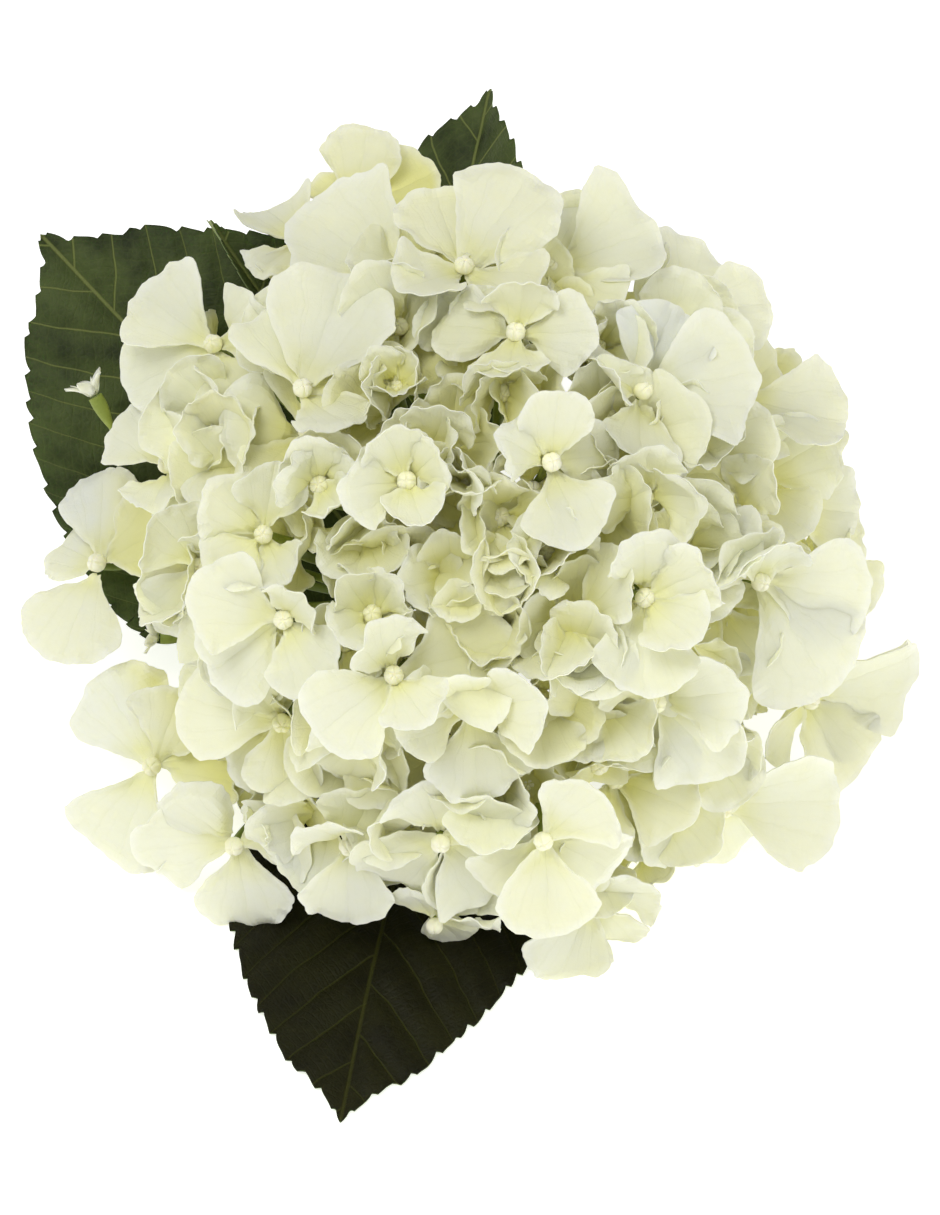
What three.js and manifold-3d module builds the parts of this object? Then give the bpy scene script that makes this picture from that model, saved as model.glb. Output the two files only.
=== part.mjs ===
// A cut hydrangea lying on a surface: a mophead of four-sepalled florets on a forked flower stalk,
// with four leaves, two unopened fertile florets and a woody stem that trails behind the head.
// Millimetres, Z up. The head faces up and forward, towards -Y; the stem lies along +Y.
import * as THREE from "three";
import { mergeVertices } from "three/addons/utils/BufferGeometryUtils.js";
import Module from "manifold-3d";

const wasm = await Module();
wasm.setup();

// ---- Driving sizes ----

// The head is a dome of floret centres about its own axis. Its frame has X across, Y up the head
// and Z along the axis, out of the flowers.
const HEAD_HALF_WIDTH = 85;
const HEAD_HALF_HEIGHT = 90;
const HEAD_DEPTH = 65; // rim to crown, at the floret centres
const DOME_POWER = 2.6; // 2 is a paraboloid, and more makes the crown flatter
const HEAD_ELEVATION = 50; // degrees from the surface to the head's axis
const RIM_OVERHANG = 21; // how far the lowest petals reach past the dome's edge

const PETAL_THICKNESS = 1.0;
const CLEARANCE = 0.3; // between any two pieces
const BUD_RADIUS = 2.3;
const PEDICEL_RADIUS = 1.0;
const PEDICEL_LENGTH = 26;
const SHOULDER_TURN = 34; // degrees from the middle of a petal to the widest part of its outline
const SHOULDER_REACH = 0.97; // of the reach of the petal's tip
const VALLEY_REACH = 0.62; // where two petals meet, of the reach of the shorter one

const HUB_DEPTH = 35; // where the flower stalk starts to fork, behind the rim
const FORK_SHARE = 0.42; // how far out from the hub the branches fork again
const FORK_RING = 0.62; // where the outer branches aim, as a share of the head's half width
const BRANCH_RADIUS = 2.0;
const TWIG_RADIUS = 1.2;

const STEM_RADIUS = 3.8;
const STEM_NECK = 12; // straight length behind the hub, before the stem bends down
const STEM_ON_SURFACE = 76; // straight length that lies on the surface
const LEAF_THICKNESS = 1.0;
const PETIOLE_RADIUS = 1.7;

const FRONT_LEAF_HALF_WIDTH = 39;
const LEFT_LEAF_HALF_WIDTH = 52;
const BACK_LEAF_HALF_WIDTH = 30;
const YOUNG_LEAF_HALF_WIDTH = 9;

// The half sizes of a head whose florets have the spans below. A smaller head has smaller florets.
const SPAN_HALF_WIDTH = 85;
const SPAN_HALF_HEIGHT = 90;

// Florets: [across, up, lift, lean across, lean up, spin, span, cup]. Across and up are shares of
// the head's half width and half height. Lift is mm out of the dome. The leans turn the face from
// the head's axis, spin is the way the first petal points, and cup is how far petals stand up from
// the face, all in degrees. Span is mm across two petals.
const FLORETS = [
  [-0.81, 0.62, 8, -20, 15, 150, 54, 12],
  [-0.95, 0.27, 2, -22, 20, 95, 50, 25],
  [-0.54, 0.48, 8, 12, 18, 100, 52, 22],
  [-0.22, 0.8, 4, -10, 25, 145, 50, 15],
  [-0.39, 1.04, -2, 0, 55, 95, 44, 20],
  [-0.55, 0.94, -6, -20, 45, 140, 46, 18],
  [-0.05, 0.83, 8, 5, 32, 50, 56, 15],
  [0.22, 0.84, 6, 15, 25, 78, 53, 30],
  [0.11, 0.64, 4, -8, 12, 170, 46, 25],
  [0.06, 0.48, 6, 8, -20, -30, 46, 50],
  [0.21, 0.27, 6, 8, 5, 15, 46, 15],
  [0.38, 0.4, 3, 20, 5, -50, 48, 25],
  [0.64, 0.71, 0, 28, 38, 105, 49, 12],
  [0.48, 0.47, 2, 30, 30, 45, 52, 25],
  [0.8, 0.47, -4, 45, 22, -10, 52, 15],
  [0.88, 0.32, -12, 48, 10, 20, 46, 20],
  [0.78, 0.13, 6, -4, 8, 120, 45, 38],
  [0.95, 0.16, -8, 42, 0, -10, 48, 15],
  [0.49, 0.18, 2, 4, -15, -90, 45, 20],
  [0.84, -0.06, 8, 25, -10, -15, 58, 12],
  [0.86, -0.26, -10, 28, -18, -60, 50, 15],
  [1.0, -0.4, 2, 60, -25, 15, 55, 20],
  [0.49, -0.11, 8, 5, 0, 45, 50, 30],
  [0.3, -0.17, 8, -25, 22, 170, 49, 25],
  [0.53, -0.4, 5, 2, -22, -100, 51, 18],
  [0.74, -0.71, 6, 20, -28, -10, 57, 12],
  [0.36, -0.58, -4, 0, -22, -60, 48, 20],
  [-1.01, -0.6, 12, -15, -5, 125, 52, 18],
  [-0.75, -0.82, 8, -15, -28, 180, 50, 12],
  [-0.6, -0.46, 0, 0, -20, -90, 47, 15],
  [-0.12, -0.8, 6, 0, -32, -90, 55, 15],
  [-0.4, -0.81, 6, 0, -38, -70, 53, 15],
  [-0.02, -0.42, 10, 0, -12, -90, 48, 28],
  [0.19, -0.79, 12, 0, -30, 30, 54, 25],
  [0.34, -0.98, -4, 8, -50, -30, 48, 15],
  [-0.35, -0.52, 3, -15, -22, -45, 46, 40],
  [-0.14, -1.04, 5, 0, -65, -90, 40, 20],
  [-0.26, -0.33, 8, 5, 5, 15, 51, 28],
  [-0.32, -0.16, 5, -5, 10, 60, 44, 52],
  [0.06, 0.12, 4, 0, 0, 20, 44, 55],
  [-1.18, -0.01, 6, -25, 10, 75, 50, 15],
  [-0.85, -0.02, 2, -10, -5, -120, 46, 42],
  [-0.65, 0.07, 10, -2, 0, 60, 42, 15],
  [-0.59, -0.17, 12, 0, -5, -130, 50, 10],
  [-0.48, 0.21, 5, -5, 0, -40, 44, 55],
  [-0.22, 0.22, 5, 0, 0, 0, 44, 55],
  // The underside, which faces out and back.
  [0.98, -0.02, -34, 105, 0, 20, 44, 10],
  [0.74, 0.62, -30, 75, 72, 40, 44, 10],
  [-0.14, 0.98, -34, -20, 100, 60, 44, 10],
  [-0.86, 0.5, -32, -95, 50, 10, 44, 10],
  [-0.78, -0.52, -30, -90, -50, 30, 42, 10],
  [0.5, -0.82, -28, 62, -85, 70, 44, 10],
];
const BRANCHES = 6; // round one middle branch

// Unopened fertile florets: their pedicels from foot to tip, in the head's frame.
const UNOPENED = [
  { name: "unopened_upper", curve: [[-60, 18, -14], [-80, 25, -17], [-93, 30, -15], [-101, 43, -13]] },
  { name: "unopened_lower", curve: [[-52, -12, -16], [-66, -20, -18], [-84, -20, -18]] },
];

// ---- Frames ----

const radians = THREE.MathUtils.degToRad;
const elevation = radians(HEAD_ELEVATION);
const headHeight = (HEAD_HALF_HEIGHT + RIM_OVERHANG) * Math.cos(elevation);
const headFrame = new THREE.Matrix4()
  .makeTranslation(0, 0, headHeight)
  .multiply(new THREE.Matrix4().makeRotationX(Math.PI / 2 - elevation));

const vec = (x, y, z) => new THREE.Vector3(x, y, z);
const inHead = (x, y, z) => vec(x, y, z).applyMatrix4(headFrame);
const headAxis = vec(0, 0, 1).transformDirection(headFrame);
const hub = inHead(0, 0, -HUB_DEPTH);

function domeDepth(across, up) {
  return HEAD_DEPTH * (1 - Math.hypot(across, up) ** DOME_POWER);
}

function domePoint(across, up, lift) {
  return inHead(
    across * HEAD_HALF_WIDTH,
    up * HEAD_HALF_HEIGHT,
    domeDepth(across, up) + lift,
  );
}

// ---- Closed meshes ----

// A solid from points and faces, turned so that its faces point out.
function solid(points, faces) {
  const flat = new Float32Array(points.flatMap((p) => [p.x, p.y, p.z]));
  const make = (list) =>
    new wasm.Manifold(
      new wasm.Mesh({ numProp: 3, vertProperties: flat, triVerts: new Uint32Array(list.flat()) }),
    );
  const first = make(faces);
  if (first.volume() > 0) return first;
  first.delete();
  return make(faces.map(([a, b, c]) => [a, c, b]));
}

// Rings of equally many points joined into one closed skin, with a fan over each end.
function loft(rings) {
  const sides = rings[0].length;
  const points = rings.flat();
  const faces = [];
  for (let r = 0; r + 1 < rings.length; r++)
    for (let k = 0; k < sides; k++) {
      const [a, b] = [r * sides + k, r * sides + ((k + 1) % sides)];
      faces.push([a, b, b + sides], [a, b + sides, a + sides]);
    }
  for (const [ring, turn] of [[0, 1], [rings.length - 1, 0]]) {
    points.push(rings[ring].reduce((sum, p) => sum.add(p), vec(0, 0, 0)).divideScalar(sides));
    for (let k = 0; k < sides; k++) {
      const [a, b] = [ring * sides + k, ring * sides + ((k + 1) % sides)];
      faces.push(turn ? [points.length - 1, b, a] : [points.length - 1, a, b]);
    }
  }
  return solid(points, faces);
}

// A ring of points round a centre, square to a direction, starting from a given side.
function ringAt(centre, direction, start, radius, sides) {
  const y = direction.clone().cross(start).normalize();
  const x = y.clone().cross(direction).normalize();
  return Array.from({ length: sides }, (_, k) => {
    const turn = (2 * Math.PI * k) / sides;
    return centre
      .clone()
      .addScaledVector(x, radius * Math.cos(turn))
      .addScaledVector(y, radius * Math.sin(turn));
  });
}

function rod(from, to, fromRadius, toRadius, sides) {
  const direction = to.clone().sub(from).normalize();
  const start = Math.abs(direction.x) > 0.9 ? vec(0, 1, 0) : vec(1, 0, 0);
  return loft([
    ringAt(from, direction, start, fromRadius, sides),
    ringAt(to, direction, start, toRadius, sides),
  ]);
}

function fromGeometry(geometry) {
  geometry.deleteAttribute("normal");
  geometry.deleteAttribute("uv");
  const merged = mergeVertices(geometry, 1e-3);
  return new wasm.Manifold(
    new wasm.Mesh({
      numProp: 3,
      vertProperties: merged.attributes.position.array,
      triVerts: new Uint32Array(merged.index.array),
    }),
  );
}

function toGeometry(body) {
  const { vertProperties, triVerts } = body.getMesh();
  const geometry = new THREE.BufferGeometry();
  geometry.setAttribute("position", new THREE.BufferAttribute(new Float32Array(vertProperties), 3));
  geometry.setIndex(new THREE.BufferAttribute(new Uint32Array(triVerts), 1));
  geometry.computeVertexNormals();
  return geometry;
}

// ---- Materials ----

const finish = (color, roughness) => new THREE.MeshStandardMaterial({ color, roughness, metalness: 0 });
const petalFinish = finish("#e6e5c6", 0.75);
const leafFinish = finish("#3f4f2d", 0.6);
const darkLeafFinish = finish("#22260f", 0.55);
const stalkFinish = finish("#93a04a", 0.6);
const barkFinish = finish("#7d7350", 0.85);

// ---- Stem and flower stalk ----

const neckEnd = hub.clone().addScaledVector(headAxis, -STEM_NECK);
const bendRadius = (neckEnd.z - STEM_RADIUS) / (1 - Math.cos(elevation));

// The stem's centre line by its length from the hub.
function stemPoint(length) {
  const along = length - STEM_NECK;
  if (along < 0) return hub.clone().addScaledVector(headAxis, -length);
  const turned = Math.min(along / bendRadius, elevation);
  const flat = along - turned * bendRadius;
  const sweep = Math.sin(elevation) - Math.sin(elevation - turned);
  const drop = Math.cos(elevation - turned) - Math.cos(elevation);
  return vec(0, neckEnd.y + bendRadius * sweep + flat, neckEnd.z - bendRadius * drop);
}

const stemLength = STEM_NECK + elevation * bendRadius + STEM_ON_SURFACE;

function makeStem() {
  const steps = 16;
  const sides = 10;
  const rings = [];
  for (let k = 0; k <= steps; k++) {
    const length = CLEARANCE + ((stemLength - CLEARANCE) * k) / steps;
    const ahead = stemPoint(length + 0.1).sub(stemPoint(length - 0.1)).normalize();
    rings.push(ringAt(stemPoint(length), ahead, vec(1, 0, 0), STEM_RADIUS, sides));
  }
  return loft(rings);
}

// Where the branches fork into twigs: one in the middle and the rest round it.
const forks = [[0, 0]]
  .concat(
    Array.from({ length: BRANCHES }, (_, k) => {
      const turn = (2 * Math.PI * (k + 0.5)) / BRANCHES;
      return [FORK_RING * Math.cos(turn), FORK_RING * Math.sin(turn)];
    }),
  )
  .map(([across, up]) => hub.clone().lerp(domePoint(across, up, 0), FORK_SHARE));

const nearestFork = (point) => {
  const way = point.clone().sub(hub).normalize();
  return forks.reduce((best, fork) =>
    fork.clone().sub(hub).normalize().dot(way) > best.clone().sub(hub).normalize().dot(way) ? fork : best,
  );
};

// ---- Florets ----

const spanScale = Math.min(HEAD_HALF_WIDTH / SPAN_HALF_WIDTH, HEAD_HALF_HEIGHT / SPAN_HALF_HEIGHT);

// Where a floret stands: its centre, the axes of its face, its pedicel's foot and the fork it grows from.
function placeFloret([across, up, lift, leanAcross, leanUp, spin, span, cup]) {
  const centre = domePoint(across, up, lift);
  const lean = Math.hypot(leanAcross, leanUp);
  const way = lean ? vec(leanAcross / lean, leanUp / lean, 0) : vec(1, 0, 0);
  const face = vec(0, 0, Math.cos(radians(lean))).addScaledVector(way, Math.sin(radians(lean)));
  face.transformDirection(headFrame);
  const side = vec(Math.cos(radians(spin)), Math.sin(radians(spin)), 0).transformDirection(headFrame);
  side.addScaledVector(face, -side.dot(face)).normalize();
  const fork = nearestFork(centre);
  const inward = hub.clone().sub(centre).normalize();
  const foot = centre.clone().addScaledVector(inward, PEDICEL_LENGTH);
  return { centre, face, side, foot, fork, span: span * spanScale, cup };
}

function pedicelCurve({ centre, face, foot, fork }) {
  const reach = PEDICEL_LENGTH / 3;
  const rise = foot.clone().sub(fork).normalize();
  return new THREE.CubicBezierCurve3(
    centre.clone().addScaledVector(face, -PETAL_THICKNESS / 2),
    centre.clone().addScaledVector(face, -reach),
    foot.clone().addScaledVector(rise, reach),
    foot,
  );
}

// One floret: bud, four cupped petals and pedicel in one skin. Petals are [cup in degrees, reach].
// grow thickens it all round, to test the clearance to its neighbours.
function makeFloret(spot, petals, grow) {
  const { centre, face, side } = spot;
  const across = face.clone().cross(side);
  const at = (turn, radius, height) =>
    centre
      .clone()
      .addScaledVector(side, radius * Math.cos(turn))
      .addScaledVector(across, radius * Math.sin(turn))
      .addScaledVector(face, height);
  const points = [];
  const faces = [];
  const ring = (list) => {
    points.push(...list);
    return points.length - list.length;
  };
  // Each petal has a left shoulder, a tip and a right shoulder, and then comes the valley.
  const rays = petals.flatMap(([cup, reach], k) => {
    const [nextCup, nextReach] = petals[(k + 1) % 4];
    const turn = (k * Math.PI) / 2;
    const valley = VALLEY_REACH * Math.min(reach, nextReach);
    return [
      { turn: turn - radians(SHOULDER_TURN), cup, reach: SHOULDER_REACH * reach },
      { turn, cup, reach },
      { turn: turn + radians(SHOULDER_TURN), cup, reach: SHOULDER_REACH * reach },
      { turn: turn + Math.PI / 4, cup: (cup + nextCup) / 2, reach: valley },
    ];
  });
  const half = PETAL_THICKNESS / 2 + grow;
  // Top and bottom of the sheet at a share of each ray, with the outer half bent back a little.
  const sheet = (share, offset) =>
    rays.map(({ turn, cup, reach }) => {
      const full = reach + grow;
      const inner = Math.min(share, 0.5) * full;
      const outer = Math.max(share - 0.5, 0) * full;
      const [low, high] = [radians(cup), radians(cup * 0.75)];
      const slope = share > 0.5 ? high : low;
      const radius = inner * Math.cos(low) + outer * Math.cos(high) - offset * Math.sin(slope);
      const height = inner * Math.sin(low) + outer * Math.sin(high) + offset * Math.cos(slope);
      return at(turn, radius, height);
    });
  const eight = (radius, height) =>
    Array.from({ length: 8 }, (_, k) => at((k * Math.PI) / 4, radius, height));
  const band = (a, b, count) => {
    for (let k = 0; k < count; k++) {
      const next = (k + 1) % count;
      faces.push([a + k, b + k, b + next], [a + k, b + next, a + next]);
    }
  };
  // From eight points to the sheet's sixteen.
  const spread = (a, b, flip) => {
    for (let k = 0; k < 8; k++) {
      const [near, far] = [a + k, a + ((k + 1) % 8)];
      const [first, second, third] = [1, 2, 3].map((s) => b + ((2 * k + s) % 16));
      const trio = [
        [near, first, second],
        [near, second, far],
        [far, second, third],
      ];
      faces.push(...(flip ? trio.map(([p, q, r]) => [p, r, q]) : trio));
    }
  };
  const budRadius = BUD_RADIUS + grow;
  const apex = ring([at(0, 0, 2 * BUD_RADIUS + grow)]);
  const crown = ring(eight(budRadius, BUD_RADIUS));
  const neck = ring(eight(0.7 * budRadius, half));
  const topMiddle = ring(sheet(0.5, half));
  const topEdge = ring(sheet(1, half));
  const lowEdge = ring(sheet(1, -half));
  const lowMiddle = ring(sheet(0.5, -half));
  const curve = pedicelCurve(spot);
  const stalkRadius = PEDICEL_RADIUS + grow;
  const collar = ring(eight(1.3 * stalkRadius, -half));
  for (let k = 0; k < 8; k++) faces.push([apex, crown + k, crown + ((k + 1) % 8)]);
  band(crown, neck, 8);
  spread(neck, topMiddle, false);
  band(topMiddle, topEdge, 16);
  band(topEdge, lowEdge, 16);
  band(lowEdge, lowMiddle, 16);
  spread(collar, lowMiddle, true);
  let last = collar;
  for (const share of [0.35, 0.7, 1]) {
    const place = curve.getPoint(share);
    const down = curve.getTangent(share).negate();
    const next = ring(ringAt(place, down, side, stalkRadius, 8));
    band(last, next, 8);
    last = next;
  }
  const base = ring([curve.getPoint(1)]);
  for (let k = 0; k < 8; k++) faces.push([base, last + ((k + 1) % 8), last + k]);
  return solid(points, faces);
}

function bounds(body) {
  const box = body.boundingBox();
  return new THREE.Box3(vec(...box.min), vec(...box.max));
}

// The volume that a body shares with others, up to a limit past which it no longer matters.
function overlap(body, others, limit) {
  const box = bounds(body);
  let volume = 0;
  for (const other of others) {
    if (volume >= limit) break;
    if (!box.intersectsBox(other.box)) continue;
    const shared = body.intersect(other.body);
    volume += shared.volume();
    shared.delete();
  }
  return volume;
}

const obstacle = (body) => ({ body, box: bounds(body) });

// Petals fold up, fold back or stay shorter, whichever is the least change that clears the rest.
const FOLDS = [0, 8, -8, 16, -16, 26, -26, 38, 52];
const REACHES = [1, 0.9, 0.78, 0.66, 0.54, 0.42];
const CHANGES = REACHES.flatMap((reach) =>
  FOLDS.map((fold) => ({ fold, reach, cost: Math.abs(fold) / 26 + (1 - reach) * 4 })),
).sort((a, b) => a.cost - b.cost);
// A crowded floret stands further out of the head, or deeper in it.
const SHIFTS = [0, 4, -4, 8, -8, 12, -12];
const SHIFT_COST = 0.12; // for each mm
const CROWDED = 0.8; // the cost from which other depths are tried
const TOUCHING = 1e-6;

// The four petals of a floret at one depth, what they cost and the volume that stays crowded.
function settlePetals(spot, others) {
  const near = spot.span / 2;
  const drawnIn = [40, 0.2 * near];
  let total = 0;
  const petals = [0, 1, 2, 3].map((k) => {
    let best = { volume: Infinity };
    for (const { fold, reach, cost } of CHANGES) {
      const petal = [Math.min(Math.max(spot.cup + fold, -25), 78), near * reach];
      // A petal is judged alone, with the other three drawn in to the bud.
      const body = makeFloret(spot, [0, 1, 2, 3].map((other) => (other === k ? petal : drawnIn)), CLEARANCE);
      const volume = overlap(body, others, best.volume);
      body.delete();
      if (volume < best.volume) best = { petal, volume, cost };
      if (volume < TOUCHING) break;
    }
    total += best.cost;
    return best.petal;
  });
  const body = makeFloret(spot, petals, CLEARANCE);
  const crowding = overlap(body, others, Infinity);
  body.delete();
  return { spot, petals, cost: total, crowding };
}

function settleFloret(spot, others) {
  let best = null;
  for (const shift of SHIFTS) {
    const moved = { ...spot, centre: spot.centre.clone().addScaledVector(headAxis, shift) };
    const tried = settlePetals(moved, others);
    tried.cost += Math.abs(shift) * SHIFT_COST + (tried.crowding > TOUCHING ? 100 + tried.crowding : 0);
    if (!best || tried.cost < best.cost) best = tried;
    if (best.cost < CROWDED + Math.abs(shift) * SHIFT_COST) break;
  }
  return best;
}

// ---- Leaves ----

// A leaf with its petiole, lofted along a midrib. halfWidth is the blade's widest, blade is the share
// of the midrib where it starts, fold lifts both halves of the blade and face is the side that looks up.
function makeLeaf({ midrib, face, halfWidth, blade, fold, droop }) {
  const curve = new THREE.CatmullRomCurve3(midrib);
  const stations = 20;
  const rings = [];
  for (let k = 0; k <= stations; k++) {
    const share = k / stations;
    const along = Math.max((share - blade) / (1 - blade), 0);
    const width =
      PETIOLE_RADIUS + halfWidth * 1.08 * Math.sin(Math.PI * along ** 0.72) ** 0.85 * (1 - 0.25 * along ** 3);
    const ahead = curve.getTangentAt(share);
    const across = ahead.clone().cross(face).normalize();
    const up = across.clone().cross(ahead).normalize();
    const inBlade = THREE.MathUtils.smoothstep(along, 0, 0.12);
    const thick = THREE.MathUtils.lerp(PETIOLE_RADIUS, LEAF_THICKNESS / 2, inBlade);
    const place = (part, depth) => {
      const lift = inBlade * Math.abs(part) * (fold - droop * Math.abs(part)) * width;
      return curve
        .getPointAt(share)
        .addScaledVector(across, part * width)
        .addScaledVector(up, lift + depth);
    };
    rings.push([
      place(-1, 0),
      place(-0.55, 0.9 * thick),
      place(0, thick),
      place(0.55, 0.9 * thick),
      place(1, 0),
      place(0.55, -0.9 * thick),
      place(0, -thick),
      place(-0.55, -0.9 * thick),
    ]);
  }
  return loft(rings);
}

// The start of a petiole that leaves the stem towards a point.
function petioleStart(length, towards) {
  const centre = stemPoint(length);
  const ahead = stemPoint(length + 0.1).sub(centre).normalize();
  const out = towards.clone().sub(centre);
  out.addScaledVector(ahead, -out.dot(ahead)).normalize();
  return centre.addScaledVector(out, STEM_RADIUS + CLEARANCE + 0.7);
}

const group = new THREE.Group();
group.name = "cut_hydrangea";
const placed = [];

function add(name, body, material) {
  const mesh = new THREE.Mesh(toGeometry(body), material);
  mesh.name = name;
  group.add(mesh);
  placed.push(obstacle(body));
}

add("stem", makeStem(), barkFinish);

const onSurface = LEAF_THICKNESS / 2;
const frontBase = vec(-12, -2, 7);
add(
  "leaf_front",
  makeLeaf({
    midrib: [
      petioleStart(24, frontBase),
      vec(-8, 14, 14),
      frontBase,
      vec(-20, -38, onSurface + 0.4),
      vec(-27, -85, onSurface),
      vec(-36, -130, onSurface),
    ],
    face: vec(0, 0, 1),
    halfWidth: FRONT_LEAF_HALF_WIDTH,
    blade: 0.24,
    fold: 0.0,
    droop: 0.0,
  }),
  darkLeafFinish,
);
const leftBase = inHead(-16, -10, -52);
add(
  "leaf_left",
  makeLeaf({
    midrib: [
      petioleStart(14, leftBase),
      leftBase,
      inHead(-45, 20, -50),
      inHead(-82, 54, -46),
      inHead(-114, 85, -48),
    ],
    face: vec(0.1, -0.1, 1).transformDirection(headFrame),
    halfWidth: LEFT_LEAF_HALF_WIDTH,
    blade: 0.1,
    fold: 0.12,
    droop: 0.1,
  }),
  leafFinish,
);
const youngBase = inHead(-30, 34, -38);
add(
  "leaf_young",
  makeLeaf({
    midrib: [
      petioleStart(5, youngBase),
      youngBase,
      inHead(-52, 62, -30),
      inHead(-72, 90, -26),
    ],
    face: vec(0.5, 0.4, 0.75).transformDirection(headFrame),
    halfWidth: YOUNG_LEAF_HALF_WIDTH,
    blade: 0.4,
    fold: 0.7,
    droop: 0.1,
  }),
  leafFinish,
);
const backBase = inHead(-4, 34, -78);
add(
  "leaf_back",
  makeLeaf({
    midrib: [
      petioleStart(52, backBase),
      backBase,
      inHead(-4, 70, -70),
      inHead(-3, 100, -66),
      inHead(3, 127, -70),
    ],
    face: vec(-0.62, 0.1, 0.78).transformDirection(headFrame),
    halfWidth: BACK_LEAF_HALF_WIDTH,
    blade: 0.14,
    fold: 0.25,
    droop: 0.1,
  }),
  leafFinish,
);

// ---- Flower stalk ----

const spots = FLORETS.map(placeFloret);
const budFeet = UNOPENED.map(({ curve }) => inHead(...curve[0]));
const riseFrom = (foot) => foot.clone().sub(nearestFork(foot)).normalize();

// The stalk forks from the hub to the branches and from each branch to its pedicels, and stops a
// clearance short of every foot.
function makeFlowerStalk() {
  const root = hub.clone().addScaledVector(headAxis, BRANCH_RADIUS);
  let body = rod(hub, root.clone().addScaledVector(headAxis, BRANCH_RADIUS), 1.5 * BRANCH_RADIUS, BRANCH_RADIUS, 8);
  const grow = (from, to, fromRadius, toRadius) => {
    body = body.add(rod(from, to, fromRadius, toRadius, 5));
  };
  for (const fork of forks) grow(root, fork, BRANCH_RADIUS, 0.85 * BRANCH_RADIUS);
  for (const foot of spots.map((spot) => spot.foot).concat(budFeet)) {
    const way = riseFrom(foot);
    const start = nearestFork(foot).clone().addScaledVector(way, -0.4 * BRANCH_RADIUS);
    grow(start, foot.clone().addScaledVector(way, -CLEARANCE), TWIG_RADIUS, TWIG_RADIUS);
  }
  return body;
}

add("flower_stalk", makeFlowerStalk(), stalkFinish);

// An unopened fertile floret: a thin pedicel that swells into a cup with five spread teeth.
function makeUnopened({ curve }) {
  const [foot, ...rest] = curve.map((point) => inHead(...point));
  const line = new THREE.CatmullRomCurve3([foot, foot.clone().addScaledVector(riseFrom(foot), 5), ...rest]);
  const steps = 8;
  const rings = [];
  const radii = [...Array(steps).fill(PEDICEL_RADIUS * 0.9), 1.6, 2.2, 1.7];
  radii.forEach((radius, k) => {
    const share = k < steps ? (0.86 * k) / (steps - 1) : 0.86 + 0.045 * (k - steps + 1);
    rings.push(ringAt(line.getPointAt(share), line.getTangentAt(share), vec(1, 0, 0.3), radius, 10));
  });
  for (const [along, tooth] of [[0.5, 4.2], [1.6, 4.6]]) {
    const tip = line.getPointAt(1);
    const ahead = line.getTangentAt(1);
    const spread = ringAt(tip.addScaledVector(ahead, along), ahead, vec(1, 0, 0.3), tooth, 10);
    const centre = tip.clone();
    rings.push(spread.map((point, k) => (k % 2 ? point.lerp(centre, 0.6) : point)));
  }
  return loft(rings);
}

UNOPENED.forEach((spec) => add(spec.name, makeUnopened(spec), stalkFinish));

// ---- Placing the florets ----

const surface = fromGeometry(new THREE.BoxGeometry(900, 900, 20).translate(0, 0, -10 - CLEARANCE));
const pedicels = spots.map((spot) => {
  const curve = pedicelCurve(spot);
  const shares = [0.12, 0.35, 0.7, 1];
  const radius = PEDICEL_RADIUS + CLEARANCE;
  return obstacle(
    loft(shares.map((share) => ringAt(curve.getPoint(share), curve.getTangent(share), spot.side, radius, 8))),
  );
});
const fixed = [obstacle(surface), ...placed];
const grown = [];
const order = spots.map((_, k) => k).sort((a, b) => spots[b].span - spots[a].span);
const bodies = [];
for (const k of order) {
  const waiting = pedicels.filter((_, other) => other !== k && !bodies[other]);
  const settled = settleFloret(spots[k], [...fixed, ...bodies.filter(Boolean), ...waiting]);
  bodies[k] = obstacle(makeFloret(settled.spot, settled.petals, 0));
}
bodies.forEach(({ body }, k) => add(`floret_${String(k + 1).padStart(2, "0")}`, body, petalFinish));

// The origin is under the middle of the whole object, on the surface.
const whole = new THREE.Box3().setFromObject(group);
const middle = whole.getCenter(new THREE.Vector3());
group.position.set(-middle.x, -middle.y, -whole.min.z);
group.updateMatrixWorld(true);

export default group;
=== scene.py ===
"""A cut mophead hydrangea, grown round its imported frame. Laid out as an add-on and run as a script."""

import math
import random

import bpy
import numpy as np
from bpy.props import FloatProperty, FloatVectorProperty, IntProperty, PointerProperty
from mathutils import Matrix, Vector, noise


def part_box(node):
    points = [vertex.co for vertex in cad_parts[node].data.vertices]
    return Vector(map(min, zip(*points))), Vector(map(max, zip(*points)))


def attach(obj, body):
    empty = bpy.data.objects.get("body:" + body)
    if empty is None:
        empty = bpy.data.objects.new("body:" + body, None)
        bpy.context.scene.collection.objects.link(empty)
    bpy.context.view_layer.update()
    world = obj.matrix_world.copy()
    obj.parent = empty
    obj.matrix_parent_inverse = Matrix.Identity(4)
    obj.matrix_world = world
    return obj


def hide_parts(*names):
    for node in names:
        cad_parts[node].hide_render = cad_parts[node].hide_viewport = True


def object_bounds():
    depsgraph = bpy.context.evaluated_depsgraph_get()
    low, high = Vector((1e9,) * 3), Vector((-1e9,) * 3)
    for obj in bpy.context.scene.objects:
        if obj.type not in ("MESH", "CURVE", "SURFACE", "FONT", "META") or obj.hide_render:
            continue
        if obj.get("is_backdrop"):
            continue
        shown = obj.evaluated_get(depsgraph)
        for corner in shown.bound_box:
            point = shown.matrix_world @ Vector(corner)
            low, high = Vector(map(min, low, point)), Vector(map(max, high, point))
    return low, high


bl_info = {
    "name": "Cut hydrangea",
    "version": (1, 0, 0),
    "blender": (4, 5, 0),
    "location": "View3D > Sidebar > Hydrangea",
    "description": "Grows a cut mophead hydrangea round its frame",
    "category": "Object",
}

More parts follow.
